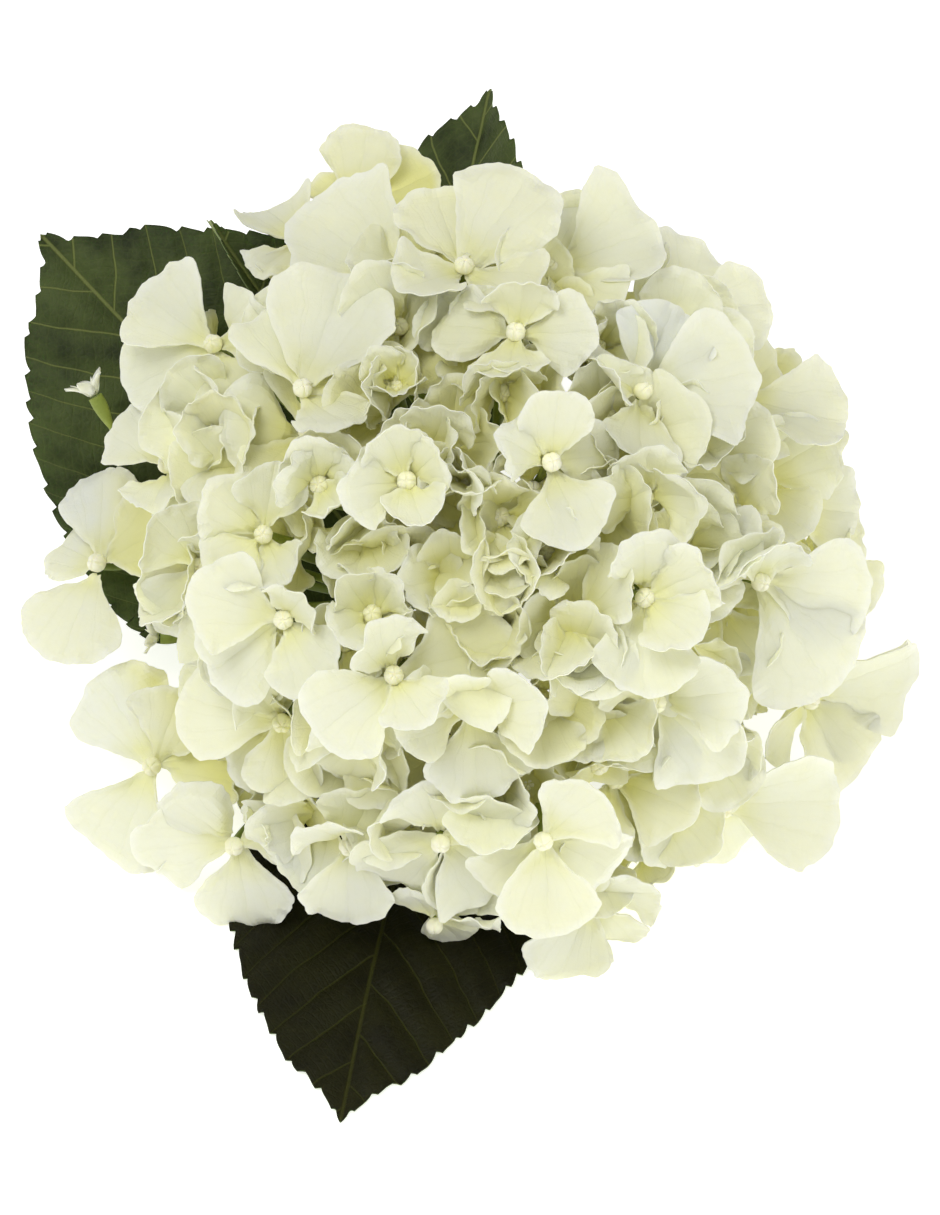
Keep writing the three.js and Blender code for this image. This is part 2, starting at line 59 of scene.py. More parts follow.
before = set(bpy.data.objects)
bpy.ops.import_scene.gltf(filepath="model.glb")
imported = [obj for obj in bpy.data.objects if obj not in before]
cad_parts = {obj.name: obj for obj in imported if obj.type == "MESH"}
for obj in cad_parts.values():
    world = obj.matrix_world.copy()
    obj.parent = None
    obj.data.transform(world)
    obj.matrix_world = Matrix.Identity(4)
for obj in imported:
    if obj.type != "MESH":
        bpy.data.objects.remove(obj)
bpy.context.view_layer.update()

# ---- The frame's own sizes, in millimetres ----

MM = 0.001
HALF_WIDTH = 85
HALF_HEIGHT = 90
DEPTH = 65
DOME_POWER = 2.6
ELEVATION = math.radians(50)
RIM_OVERHANG = 21
BUD_RADIUS = 2.3
PEDICEL_LENGTH = 26
HUB_DEPTH = 35
FORK_SHARE = 0.42
FORK_RING = 0.62
BRANCHES = 6
STEM_RADIUS = 3.8
STEM_NECK = 12
STEM_ON_SURFACE = 76
PETIOLE_RADIUS = 1.7
OUTER_CUP = 0.875  # a petal's tip stands at this share of its cup
PRESS = 0.0016  # metres over which petals are pressed flat on the surface
PETAL_UV = 20.0  # a petal's UV map runs at this for each metre
LEAF_UV = 0.01  # a leaf's UV map runs at this for each millimetre

# Florets of the frame, in the order of their nodes: [across, up, lift, lean across, lean up, spin,
# span, cup]. Across and up are shares of the head's half width and half height. Lift, out of the
# dome, and span are in millimetres. The leans, the spin and the cup are in degrees.
FLORETS = [
    [-0.81, 0.62, 8, -20, 15, 150, 54, 12],
    [-0.95, 0.27, 2, -22, 20, 95, 50, 25],
    [-0.54, 0.48, 8, 12, 18, 100, 52, 22],
    [-0.22, 0.8, 4, -10, 25, 145, 50, 15],
    [-0.39, 1.04, -2, 0, 55, 95, 44, 20],
    [-0.55, 0.94, -6, -20, 45, 140, 46, 18],
    [-0.05, 0.83, 8, 5, 32, 50, 56, 15],
    [0.22, 0.84, 6, 15, 25, 78, 53, 30],
    [0.11, 0.64, 4, -8, 12, 170, 46, 25],
    [0.06, 0.48, 6, 8, -20, -30, 46, 50],
    [0.21, 0.27, 6, 8, 5, 15, 46, 15],
    [0.38, 0.4, 3, 20, 5, -50, 48, 25],
    [0.64, 0.71, 0, 28, 38, 105, 49, 12],
    [0.48, 0.47, 2, 30, 30, 45, 52, 25],
    [0.8, 0.47, -4, 45, 22, -10, 52, 15],
    [0.88, 0.32, -12, 48, 10, 20, 46, 20],
    [0.78, 0.13, 6, -4, 8, 120, 45, 38],
    [0.95, 0.16, -8, 42, 0, -10, 48, 15],
    [0.49, 0.18, 2, 4, -15, -90, 45, 20],
    [0.84, -0.06, 8, 25, -10, -15, 58, 12],
    [0.86, -0.26, -10, 28, -18, -60, 50, 15],
    [1.0, -0.4, 2, 60, -25, 15, 55, 20],
    [0.49, -0.11, 8, 5, 0, 45, 50, 30],
    [0.3, -0.17, 8, -25, 22, 170, 49, 25],
    [0.53, -0.4, 5, 2, -22, -100, 51, 18],
    [0.74, -0.71, 6, 20, -28, -10, 57, 12],
    [0.36, -0.58, -4, 0, -22, -60, 48, 20],
    [-1.01, -0.6, 12, -15, -5, 125, 52, 18],
    [-0.75, -0.82, 8, -15, -28, 180, 50, 12],
    [-0.6, -0.46, 0, 0, -20, -90, 47, 15],
    [-0.12, -0.8, 6, 0, -32, -90, 55, 15],
    [-0.4, -0.81, 6, 0, -38, -70, 53, 15],
    [-0.02, -0.42, 10, 0, -12, -90, 48, 28],
    [0.19, -0.79, 12, 0, -30, 30, 54, 25],
    [0.34, -0.98, -4, 8, -50, -30, 48, 15],
    [-0.35, -0.52, 3, -15, -22, -45, 46, 40],
    [-0.14, -1.04, 5, 0, -65, -90, 40, 20],
    [-0.26, -0.33, 8, 5, 5, 15, 51, 28],
    [-0.32, -0.16, 5, -5, 10, 60, 44, 52],
    [0.06, 0.12, 4, 0, 0, 20, 44, 55],
    [-1.18, -0.01, 6, -25, 10, 75, 50, 15],
    [-0.85, -0.02, 2, -10, -5, -120, 46, 42],
    [-0.65, 0.07, 10, -2, 0, 60, 42, 15],
    [-0.59, -0.17, 12, 0, -5, -130, 50, 10],
    [-0.48, 0.21, 5, -5, 0, -40, 44, 55],
    [-0.22, 0.22, 5, 0, 0, 0, 44, 55],
    [0.98, -0.02, -34, 105, 0, 20, 44, 10],
    [0.74, 0.62, -30, 75, 72, 40, 44, 10],
    [-0.14, 0.98, -34, -20, 100, 60, 44, 10],
    [-0.86, 0.5, -32, -95, 50, 10, 44, 10],
    [-0.78, -0.52, -30, -90, -50, 30, 42, 10],
    [0.5, -0.82, -28, 62, -85, 70, 44, 10],
]

# Where the tips of the four petals are seen from straight above the head, in mm across and up from
# the bud. The florets of the underside have none here, and follow the frame.
PETAL_TIPS = [
    [-20, 14, -22, -10, 6, -15, 14, 7],
    [-11, 15, -5, -10, 5, -9, 4, 10],
    [-8, 20, 11, 30, 22, 6, 12, -8],
    [-27, 18, 1, 18, 15, -9, -9, -21],
    [3, 21, 20, 9, 8, -8, -7, 9],
    [-10, 9, -10, -7, 0, -12, 13, 10],
    [17, 25, -7, 20, -15, -5, 17, -7],
    [7, 19, 26, 10, 13, -12, -13, -1],
    [-21, 3, 1, 13, 19, 0, -3, -11],
    [-5, -4, 5, 4, -5, 4, 7, -6],
    [17, 3, 8, -19, -11, 6, 2, 17],
    [11, -22, -2, 14, 12, -1, -11, -5],
    [-3, 21, 21, 4, 3, -9, -13, 5],
    [29, 6, 9, 22, -10, 7, 1, -17],
    [27, -6, 9, 10, -13, -8, 3, -14],
    [20, -2, -10, 8, -7, -7, 12, 13],
    [-12, 12, 7, 12, 4, -9, -11, -8],
    [18, -2, -1, -11, 2, 19, -12, 10],
    [1, -13, 13, -1, -11, -2, 1, 11],
    [28, -6, 19, -27, 5, 9, -5, 9],
    [5, -10, -12, -10, -13, 13, 10, 3],
    [29, 10, 15, -6, 13, -22, -10, -10],
    [16, 7, 0, 14, 12, -10, 0, -23],
    [-19, 3, 8, -18, -10, -14, 11, 13],
    [-1, -18, 18, -19, 21, 2, -8, 5],
    [29, 1, -21, -7, 2, -13, -6, 16],
    [-24, -2, 4, 12, -1, -2, -11, 16],
    [-14, 23, 7, 18, 23, 4, -10, -25],
    [-25, -2, 4, -23, -17, 11, 16, 5],
    [1, -18, 11, -7, -24, 6, -9, 9],
    [-16, -9, 15, -12, -4, 13, 19, 8],
    [-9, 3, -1, -20, 15, -8, 6, 13],
    [-20, -2, 17, 2, 1, -23, -7, 6],
    [15, 11, -10, -18, 2, -25, 18, -9],
    [16, 1, -9, -23, 5, -14, -8, 10],
    [5, -6, -4, -10, -9, 5, 6, 6],
    [7, -6, 15, -1, -6, 6, 5, 9],
    [-19, -15, -3, 12, 29, 8, 8, -10],
    [5, 8, -7, 9, -8, -4, 6, -4],
    [-3, 8, 13, 0, 5, -11, -8, -7],
    [1, 25, 17, 10, -12, 6, -10, -25],
    [-11, 12, -10, -17, 4, 7, 9, -7],
    [-14, 11, 3, 17, 5, -11, -12, -10],
    [-22, 7, -20, -14, 10, -16, 5, 5],
    [8, 3, 5, -6, -7, 2, -2, 10],
    [-5, 12, -15, -2, 4, -10, 8, 7],
]

# Smaller and deeper florets, which have no node of their own.
INNER_FLORETS = [
    [-0.25, 0.49, -6, -5, 5, 20, 30, 60],
    [0.36, 0.61, -6, 10, 5, 60, 28, 62],
    [-0.24, 0.66, -6, -8, 15, 30, 40, 35],
    [0.59, 0.36, -8, 20, 10, 0, 36, 60],
    [1.02, 0.0, -16, 40, 0, 40, 40, 25],
    [0.73, -0.14, -10, 20, 0, -60, 42, 35],
    [-0.59, -0.73, -10, -10, -20, 20, 32, 50],
    [0.36, -0.4, -8, 5, -10, -135, 44, 35],
    [0.29, -0.28, -6, 0, -5, 80, 38, 60],
    [-0.04, 0.22, -6, 0, 0, 85, 36, 66],
    [-0.35, 0.06, -8, 0, 0, 30, 38, 60],
    [-0.15, 0.3, -8, -3, 4, 60, 38, 55],
    [-0.75, 0.32, -6, -15, 15, 90, 42, 50],
    [-0.08, -0.05, -10, 0, 0, 10, 38, 50],
    [0.2, 0.02, -8, 0, 0, 70, 38, 55],
    [0.6, 0.02, -12, 15, 0, 10, 42, 40],
    [-0.7, -0.3, -10, -15, -5, 45, 42, 35],
    [0.03, -0.62, -10, 0, -20, 0, 42, 35],
    [0.55, -0.68, -14, 15, -20, 30, 42, 35],
    [0.62, 0.6, -14, 25, 25, 75, 40, 40],
]

# A deeper layer fills the gaps: it winds out from the crown by the golden angle.
DEEP_FLORETS = 46
DEEP_LIFT = -13
DEEP_REACH = 0.9
DEEP_LEAN = 55
GOLDEN_ANGLE = math.radians(137.508)


# ---- Frames ----

TILT = Matrix.Rotation(math.pi / 2 - ELEVATION, 3, "X")
AXIS = TILT @ Vector((0, 0, 1))
HEAD_HEIGHT = (HALF_HEIGHT + RIM_OVERHANG) * math.cos(ELEVATION)


def in_head(x, y, z):
    """A point of the head's frame, in millimetres of the whole flower."""
    return TILT @ Vector((x, y, z)) + Vector((0, 0, HEAD_HEIGHT))


HUB = in_head(0, 0, -HUB_DEPTH)
NECK_END = HUB - AXIS * STEM_NECK
BEND_RADIUS = (NECK_END.z - STEM_RADIUS) / (1 - math.cos(ELEVATION))
STEM_LENGTH = STEM_NECK + ELEVATION * BEND_RADIUS + STEM_ON_SURFACE


def stem_point(length):
    """The stem's centre line by its length from the hub."""
    along = length - STEM_NECK
    if along < 0:
        return HUB - AXIS * length
    turned = min(along / BEND_RADIUS, ELEVATION)
    flat = along - turned * BEND_RADIUS
    sweep = math.sin(ELEVATION) - math.sin(ELEVATION - turned)
    drop = math.cos(ELEVATION - turned) - math.cos(ELEVATION)
    return Vector((0, NECK_END.y + BEND_RADIUS * sweep + flat, NECK_END.z - BEND_RADIUS * drop))


STEM_LOW, STEM_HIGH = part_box("stem")
ORIGIN = Vector(
    (
        (STEM_LOW.x + STEM_HIGH.x) / 2,
        STEM_HIGH.y - stem_point(STEM_LENGTH).y * MM,
        STEM_LOW.z - STEM_RADIUS * (1 - math.cos(math.pi / 10)) * MM,
    )
)


def laid(point):
    """A point in millimetres of the whole flower, in metres of the frame."""
    return ORIGIN + Vector(point) * MM


def dome_point(across, up, lift):
    depth = DEPTH * (1 - math.hypot(across, up) ** DOME_POWER)
    return in_head(across * HALF_WIDTH, up * HALF_HEIGHT, depth + lift)


FORKS = [HUB.lerp(dome_point(0, 0, 0), FORK_SHARE)]
for branch in range(BRANCHES):
    turn = 2 * math.pi * (branch + 0.5) / BRANCHES
    tip = dome_point(FORK_RING * math.cos(turn), FORK_RING * math.sin(turn), 0)
    FORKS.append(HUB.lerp(tip, FORK_SHARE))


def nearest_fork(point):
    way = (point - HUB).normalized()
    return max(FORKS, key=lambda fork: (fork - HUB).normalized().dot(way))


def ramp(value, low, high):
    """0 below low, 1 above high and smooth between them."""
    share = np.clip((value - low) / (high - low), 0, 1)
    return share * share * (3 - 2 * share)


class Spot:
    """Where a floret stands: its centre, the axes of its face, its pedicel's foot and its fork."""

    def __init__(self, row):
        across, up, lift, lean_across, lean_up, spin, self.span, self.cup = row
        self.centre = dome_point(across, up, lift)
        lean = math.hypot(lean_across, lean_up)
        way = Vector((lean_across, lean_up, 0)) / lean if lean else Vector((1, 0, 0))
        lean = math.radians(lean)
        self.face = TILT @ (Vector((0, 0, math.cos(lean))) + way * math.sin(lean))
        spin = math.radians(spin)
        side = TILT @ Vector((math.cos(spin), math.sin(spin), 0))
        self.side = (side - self.face * side.dot(self.face)).normalized()
        self.across = self.face.cross(self.side)
        self.fork = nearest_fork(self.centre)
        self.foot = self.centre + (HUB - self.centre).normalized() * PEDICEL_LENGTH
        self.petals = [(k * math.pi / 2, math.radians(self.cup), self.span / 2) for k in range(4)]

    def matrix(self):
        """From the floret's own frame, in metres, to the whole frame."""
        turned = Matrix((self.side, self.across, self.face)).transposed().to_4x4()
        return Matrix.Translation(laid(self.centre)) @ turned

    def read(self, name):
        """Take the depth and the petals that the floret's node has."""
        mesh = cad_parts[name].data
        flat = np.empty(len(mesh.vertices) * 3, np.float32)
        mesh.vertices.foreach_get("co", flat)
        points = (flat.reshape(-1, 3) - np.array(ORIGIN)) / MM
        tops = [self.centre + AXIS * shift for shift in range(-12, 13, 4)]
        self.centre = min(
            tops,
            key=lambda top: np.linalg.norm(points - (top + self.face * 2 * BUD_RADIUS), axis=1).min(),
        )
        axes = np.array([self.side, self.across, self.face]).T
        x, y, z = ((points - np.array(self.centre)) @ axes).T
        radius = np.hypot(x, y)
        self.petals = []
        for k in range(4):
            turn = (np.arctan2(y, x) - k * math.pi / 2 + math.pi) % (2 * math.pi) - math.pi
            near = (np.abs(turn) < 0.04) & (z > -0.9 * radius)
            reach = np.where(near, np.hypot(radius, z), 0)
            tip = int(reach.argmax())
            rise = math.atan2(z[tip], radius[tip])
            self.petals.append((k * math.pi / 2, rise / OUTER_CUP, float(reach[tip])))

    def open_to(self, tips):
        """Turn and cup each petal so that its tip is seen at its place from straight above."""
        into = TILT.transposed()
        side, across, face = (into @ axis for axis in (self.side, self.across, self.face))
        self.petals = []
        for x, y in zip(tips[::2], tips[1::2]):
            seen = math.hypot(x, y)
            reach = max(0.4 * seen + 0.6 * self.span / 2, seen * 1.02)
            rise = math.sqrt(reach**2 - seen**2)
            ways = [Vector((x, y, z)) / reach for z in (rise, -rise)]
            way = min(ways, key=lambda w: w.dot(face) if w.dot(face) > 0 else -1.6 * w.dot(face))
            cup = math.asin(max(-1, min(1, way.dot(face))))
            self.petals.append((math.atan2(way.dot(across), way.dot(side)), cup, reach))
        self.petals.sort(key=lambda petal: petal[0])

    def loosen(self, draw):
        """Give each petal a turn, a cup and a reach of its own."""
        self.petals = [
            (turn + draw.gauss(0, 0.16), cup + draw.gauss(0, 0.26), reach * draw.uniform(0.86, 1.08))
            for turn, cup, reach in self.petals
        ]


# ---- Node trees ----


def solid_colour(colour):
    return (*colour[:3], 1.0)


class Value:
    """A socket of a node tree. Python's operators add the Math nodes."""

    def __init__(self, graph, node, out=0):
        self.graph = graph
        self.node = node
        self.socket = node.outputs[out] if len(node.outputs) else None

    def out(self, name):
        return Value(self.graph, self.node, name)

    def __add__(self, other):
        return self.graph.maths("ADD", self, other)

    def __sub__(self, other):
        return self.graph.maths("SUBTRACT", self, other)

    def __rsub__(self, other):
        return self.graph.maths("SUBTRACT", other, self)

    def __mul__(self, other):
        return self.graph.maths("MULTIPLY", self, other)

    def __truediv__(self, other):
        return self.graph.maths("DIVIDE", self, other)

    def __pow__(self, other):
        return self.graph.maths("POWER", self, other)

    def __neg__(self):
        return self.graph.maths("MULTIPLY", self, -1)

    def __abs__(self):
        return self.graph.maths("ABSOLUTE", self)

    __radd__ = __add__
    __rmul__ = __mul__


class Graph:
    """A node tree with one method that adds any node to it."""

    def __init__(self, tree):
        self.tree = tree
        tree.nodes.clear()

    def add(self, kind, settings=None, values=None, out=0):
        node = self.tree.nodes.new(kind)
        for name, value in (settings or {}).items():
            if name == "stops":
                while len(node.color_ramp.elements) < len(value):
                    node.color_ramp.elements.new(1)
                for element, (place, colour) in zip(node.color_ramp.elements, value):
                    element.position = place
                    element.color = colour
            else:
                setattr(node, name, value)
        for name, value in (values or {}).items():
            for one in value if isinstance(value, list) else [value]:
                if isinstance(one, Value):
                    self.tree.links.new(one.socket, node.inputs[name])
                else:
                    node.inputs[name].default_value = one
        return Value(self, node, out)

    def maths(self, operation, *terms):
        return self.add("ShaderNodeMath", {"operation": operation}, dict(enumerate(terms)))

    def smooth(self, value, low, high, start=0.0, end=1.0):
        return self.add(
            "ShaderNodeMapRange",
            {"interpolation_type": "SMOOTHSTEP"},
            {"Value": value, "From Min": low, "From Max": high, "To Min": start, "To Max": end},
        )

    def vector(self, x=0.0, y=0.0, z=0.0):
        return self.add("ShaderNodeCombineXYZ", None, {"X": x, "Y": y, "Z": z})

    def parts(self, vector):
        split = self.add("ShaderNodeSeparateXYZ", None, {"Vector": vector})
        return split, split.out("Y"), split.out("Z")

    def noise(self, vector, scale, detail=2.0, roughness=0.5):
        return self.add(
            "ShaderNodeTexNoise",
            None,
            {"Vector": vector, "Scale": scale, "Detail": detail, "Roughness": roughness},
        )

    def mix(self, share, first, second, blend="MIX"):
        """Mix two colours, each a socket or red, green and blue."""
        first, second = (
            one if isinstance(one, Value) else solid_colour(one) for one in (first, second)
        )
        return self.add(
            "ShaderNodeMix",
            {"data_type": "RGBA", "blend_type": blend},
            {0: share, 6: first, 7: second},
            out=2,
        )

    def store(self, geometry, kind, name, value, domain="POINT"):
        """Let the mesh carry a value by name."""
        return self.add(
            "GeometryNodeStoreNamedAttribute",
            {"data_type": kind, "domain": domain},
            {"Geometry": geometry, "Name": name, "Value": value},
        )

    def dress(self, geometry, material):
        return self.add("GeometryNodeSetMaterial", None, {"Geometry": geometry, "Material": material})

    def cells(self, vector, scale):
        """How far a point is from the border of its cell."""
        return self.add(
            "ShaderNodeTexVoronoi",
            {"feature": "DISTANCE_TO_EDGE"},
            {"Vector": vector, "Scale": scale, "Randomness": 1.0},
        )

    def bump(self, strength, distance, height):
        values = {"Strength": strength, "Distance": distance, "Height": height}
        return self.add("ShaderNodeBump", None, values)

    def named(self, name):
        """A number that the mesh carries, in a geometry tree."""
        return self.add("GeometryNodeInputNamedAttribute", {"data_type": "FLOAT"}, {"Name": name})

    def carried(self, name):
        """A number that the mesh carries, in a material."""
        return self.add("ShaderNodeAttribute", {"attribute_name": name}, out="Fac")


def growth(name, sockets):
    """A new geometry tree with these named inputs, and its inputs by name."""
    tree = bpy.data.node_groups.new(name, "GeometryNodeTree")
    tree.interface.new_socket("Geometry", in_out="INPUT", socket_type="NodeSocketGeometry")
    tree.interface.new_socket("Geometry", in_out="OUTPUT", socket_type="NodeSocketGeometry")
    for label, kind in sockets.items():
        tree.interface.new_socket(label, in_out="INPUT", socket_type="NodeSocket" + kind)
    graph = Graph(tree)
    entry = graph.add("NodeGroupInput")
    return graph, {label: entry.out(label) for label in ["Geometry", *sockets]}


def finish_growth(graph, geometry):
    whole = graph.add("GeometryNodeRealizeInstances", None, {"Geometry": geometry})
    graph.add("NodeGroupOutput", None, {"Geometry": whole})
    return graph.tree


def plant(name, mesh, tree, values):
    """A new object whose mesh the tree will grow."""
    piece = bpy.data.objects.new(name, mesh)
    bpy.context.scene.collection.objects.link(piece)
    modifier = piece.modifiers.new("Growth", "NODES")
    modifier.node_group = tree
    identifiers = {
        item.name: item.identifier
        for item in tree.interface.items_tree
        if item.item_type == "SOCKET" and item.in_out == "INPUT"
    }
    for label, value in values.items():
        modifier[identifiers[label]] = value
    return piece


def harvest(pieces):
    """Turn what the trees grew into plain meshes."""
    depsgraph = bpy.context.evaluated_depsgraph_get()
    grown = [
        bpy.data.meshes.new_from_object(
            piece.evaluated_get(depsgraph), preserve_all_data_layers=True, depsgraph=depsgraph
        )
        for piece in pieces
    ]
    for piece, mesh in zip(pieces, grown):
        piece.modifiers.clear()
        old = piece.data
        piece.data = mesh
        mesh.name = piece.name
        bpy.data.meshes.remove(old)


def seeds_mesh(name, points, numbers):
    """A mesh of loose points that carry numbers by name."""
    mesh = bpy.data.meshes.new(name)
    mesh.from_pydata(points, [], [])
    for label, values in numbers.items():
        attribute = mesh.attributes.new(label, "FLOAT", "POINT")
        attribute.data.foreach_set("value", values)
    return mesh


def paths_mesh(name, paths):
    """A mesh of open lines. A path is a list of (point in metres, radius in metres)."""
    points, edges, radii = [], [], []
    for path in paths:
        first = len(points)
        points.extend(tuple(point) for point, _ in path)
        radii.extend(radius for _, radius in path)
        edges.extend((first + k, first + k + 1) for k in range(len(path) - 1))
    mesh = bpy.data.meshes.new(name)
    mesh.from_pydata(points, edges, [])
    attribute = mesh.attributes.new("thick", "FLOAT", "POINT")
    attribute.data.foreach_set("value", radii)
    return mesh


PETAL_POINTS = 19  # along each side of the sheet that becomes a petal
CLAW_START = 0.0007  # metres from the floret's axis to where a petal starts
GROOVE_DEPTH = 0.0005  # metres that a petal's middle vein is sunk


def grow_petals(graph, given):
    """A petal at each loose point of the mesh."""
    add, maths = graph.add, graph.maths
    sheet = add(
        "GeometryNodeMeshGrid",
        None,
        {"Size X": 2.0, "Size Y": 2.0, "Vertices X": PETAL_POINTS, "Vertices Y": PETAL_POINTS},
    )
    sheet = graph.store(sheet, "FLOAT_VECTOR", "flat", add("GeometryNodeInputPosition"))
    petals = add("GeometryNodeInstanceOnPoints", None, {"Points": given["Geometry"], "Instance": sheet})
    petals = add("GeometryNodeRealizeInstances", None, {"Geometry": petals})

    # A square sheet becomes a disc, and the disc a broad petal that narrows to its claw.
    flat = add("GeometryNodeInputNamedAttribute", {"data_type": "FLOAT_VECTOR"}, {"Name": "flat"})
    s, t, _ = graph.parts(flat)
    across = s * maths("SQRT", 1 - t * t / 2)
    along = t * maths("SQRT", 1 - s * s / 2)
    rim = maths("MINIMUM", maths("SQRT", across * across + along * along), 1.0)
    angle = maths("ARCTAN2", across, along)
    seed = graph.named("seed")
    reach = graph.named("reach")
    wander = graph.noise(graph.vector(across * 0.9, along * 0.9, seed), 1.0, 1.0) - 0.5
    nicks = graph.noise(
        graph.vector(maths("SINE", angle) * 2.2, maths("COSINE", angle) * 2.2, seed + 7.3), 1.6, 3.0, 0.65
    ) - 0.5
    rhomb = maths("COSINE", angle * 4) * graph.named("point")
    spread = 1 + (wander * 0.4 + rhomb + nicks * given["Nicks"]) * rim * rim
    claw = maths("MAXIMUM", 0.15 - along, 0.0) ** 1.25 * 0.56
    x = across * (1 - claw) * spread * graph.named("breadth") * reach
    y = maths("MAXIMUM", (along * spread + 1) * 0.5, 0.0) ** 0.82

    # Cupping, the groove of the middle vein, slow buckling and the ruffled margin.
    warp = graph.noise(graph.vector(across * 1.1 + 3.1, along * 1.1, seed + 11.9), 1.0, 1.5) - 0.5
    waves = graph.noise(
        graph.vector(maths("SINE", angle) * 1.5, maths("COSINE", angle) * 1.5, seed + 23.7), 1.3, 1.0
    ) - 0.5
    groove = maths("EXPONENT", -(across * across) * 60.0) * (1 - rim * 0.7)
    height = (
        graph.named("bowl") * x * x * 0.5
        + warp * rim * rim * given["Ruffle"] * 3.4
        + waves * rim ** 4 * given["Ruffle"] * 4.4
        - graph.smooth(rim, 0.7, 1.0) * graph.named("roll")
        - groove * GROOVE_DEPTH
    )
    twist = graph.named("twist") * y
    x, height = (
        x * maths("COSINE", twist) - height * maths("SINE", twist),
        height * maths("COSINE", twist) + x * maths("SINE", twist),
    )

    # The petal leaves the bud at its cup angle and bends by its curl on the way to its tip.
    cup, curl = graph.named("cup"), graph.named("curl")
    slope = cup + curl * y
    sine, cosine = maths("SINE", slope), maths("COSINE", slope)
    out = (sine - maths("SINE", cup)) / curl * reach - height * sine + CLAW_START
    lift = (maths("COSINE", cup) - cosine) / curl * reach + height * cosine
    turn = graph.named("turn")
    place = graph.vector(
        out * maths("COSINE", turn) - x * maths("SINE", turn),
        out * maths("SINE", turn) + x * maths("COSINE", turn),
        lift + graph.named("level"),
    )
    petals = add("GeometryNodeSetPosition", None, {"Geometry": petals, "Position": place})
    u = across * (1 - claw) * graph.named("breadth") * reach * PETAL_UV + 0.5
    petals = graph.store(petals, "FLOAT2", "UVMap", graph.vector(u, y * reach * PETAL_UV), "CORNER")
    petals = graph.store(petals, "FLOAT", "rim", rim)
    shell = add(
        "GeometryNodeExtrudeMesh",
        {"mode": "FACES"},
        {"Mesh": petals, "Offset Scale": given["Thickness"], "Individual": False},
    )
    edged = add(
        "GeometryNodeSetShadeSmooth",
        {"domain": "FACE"},
        {"Geometry": shell, "Selection": shell.out("Side"), "Shade Smooth": False},
    )
    under = add("GeometryNodeFlipFaces", None, {"Mesh": petals})
    petals = add("GeometryNodeJoinGeometry", None, {"Geometry": [edged, under]})
    petals = add("GeometryNodeMergeByDistance", None, {"Geometry": petals, "Distance": 1e-6})
    return graph.dress(petals, given["Petal Material"])


def grow_bud(graph, given):
    """A bud whose lobes meet in grooves that deepen towards its top."""
    add, maths = graph.add, graph.maths
    ball = add("GeometryNodeMeshUVSphere", None, {"Segments": 20, "Rings": 12, "Radius": 1.0})
    bx, by, bz = graph.parts(add("GeometryNodeInputPosition"))
    round_ = maths("ARCTAN2", by, bx)
    furrow = (1 - abs(maths("SINE", round_ * given["Lobes"] * 0.5))) ** 2.5
    size = 1 - furrow * graph.smooth(bz, -0.7, 0.8) * 0.15
    dimple = maths("EXPONENT", -(bx * bx + by * by) * 14.0) * graph.smooth(bz, 0.0, 0.5) * 0.1
    radius = given["Bud Radius"]
    ball = add(
        "GeometryNodeSetPosition",
        None,
        {
            "Geometry": ball,
            "Position": graph.vector(
                bx * size * radius, by * size * radius, (bz * size * 0.95 + 0.82 - dimple) * radius
            ),
        },
    )
    return graph.dress(ball, given["Bud Material"])


def grow_pedicel(graph, given):
    """A curved pedicel that widens under the petals."""
    add, maths = graph.add, graph.maths
    path = add(
        "GeometryNodeCurvePrimitiveBezierSegment",
        {"mode": "POSITION"},
        {
            "Resolution": 12,
            "Start": (0.0, 0.0, 0.0),
            "Start Handle": given["Pedicel Handle"],
            "End Handle": given["Foot Handle"],
            "End": given["Foot"],
        },
    )
    share = add("GeometryNodeSplineParameter", out="Factor")
    flare = 1 + 0.75 * maths("EXPONENT", share * -14.0) + 0.2 * share
    ring = add("GeometryNodeCurvePrimitiveCircle", None, {"Resolution": 10, "Radius": 1.0})
    pedicel = add(
        "GeometryNodeCurveToMesh",
        None,
        {
            "Curve": path,
            "Profile Curve": ring,
            "Scale": given["Pedicel Radius"] * flare,
            "Fill Caps": True,
        },
    )
    return graph.dress(pedicel, given["Pedicel Material"])


def floret_tree():
    """Petals round a lobed bud on a curved pedicel."""
    graph, given = growth(
        "Floret",
        {
            "Thickness": "Float",
            "Ruffle": "Float",
            "Nicks": "Float",
            "Bud Radius": "Float",
            "Lobes": "Float",
            "Pedicel Radius": "Float",
            "Pedicel Handle": "Vector",
            "Foot Handle": "Vector",
            "Foot": "Vector",
            "Petal Material": "Material",
            "Bud Material": "Material",
            "Pedicel Material": "Material",
        },
    )
    parts = [grow(graph, given) for grow in (grow_petals, grow_bud, grow_pedicel)]
    return finish_growth(graph, graph.add("GeometryNodeJoinGeometry", None, {"Geometry": parts}))


def branch_tree():
    """Round stalks of changing thickness along the lines of a mesh."""
    graph, given = growth("Stalks", {"Sides": "Int", "Unevenness": "Float", "Material": "Material"})
    add = graph.add
    line = add("GeometryNodeMeshToCurve", None, {"Mesh": given["Geometry"]})
    spot = add("GeometryNodeInputPosition")
    uneven = (graph.noise(spot, 240.0, 2.0) - 0.5) * given["Unevenness"] + 1
    ring = add("GeometryNodeCurvePrimitiveCircle", None, {"Resolution": given["Sides"], "Radius": 1.0})
    stalk = add(
        "GeometryNodeCurveToMesh",
        None,
        {
            "Curve": line,
            "Profile Curve": ring,
            "Scale": graph.named("thick") * uneven,
            "Fill Caps": True,
        },
    )
    return finish_growth(graph, graph.dress(stalk, given["Material"]))


# ---- Curves ----


def bezier(start, first, second, end, share):
    rest = 1 - share
    return (
        start * rest**3 + first * 3 * rest**2 * share + second * 3 * rest * share**2 + end * share**3
    )


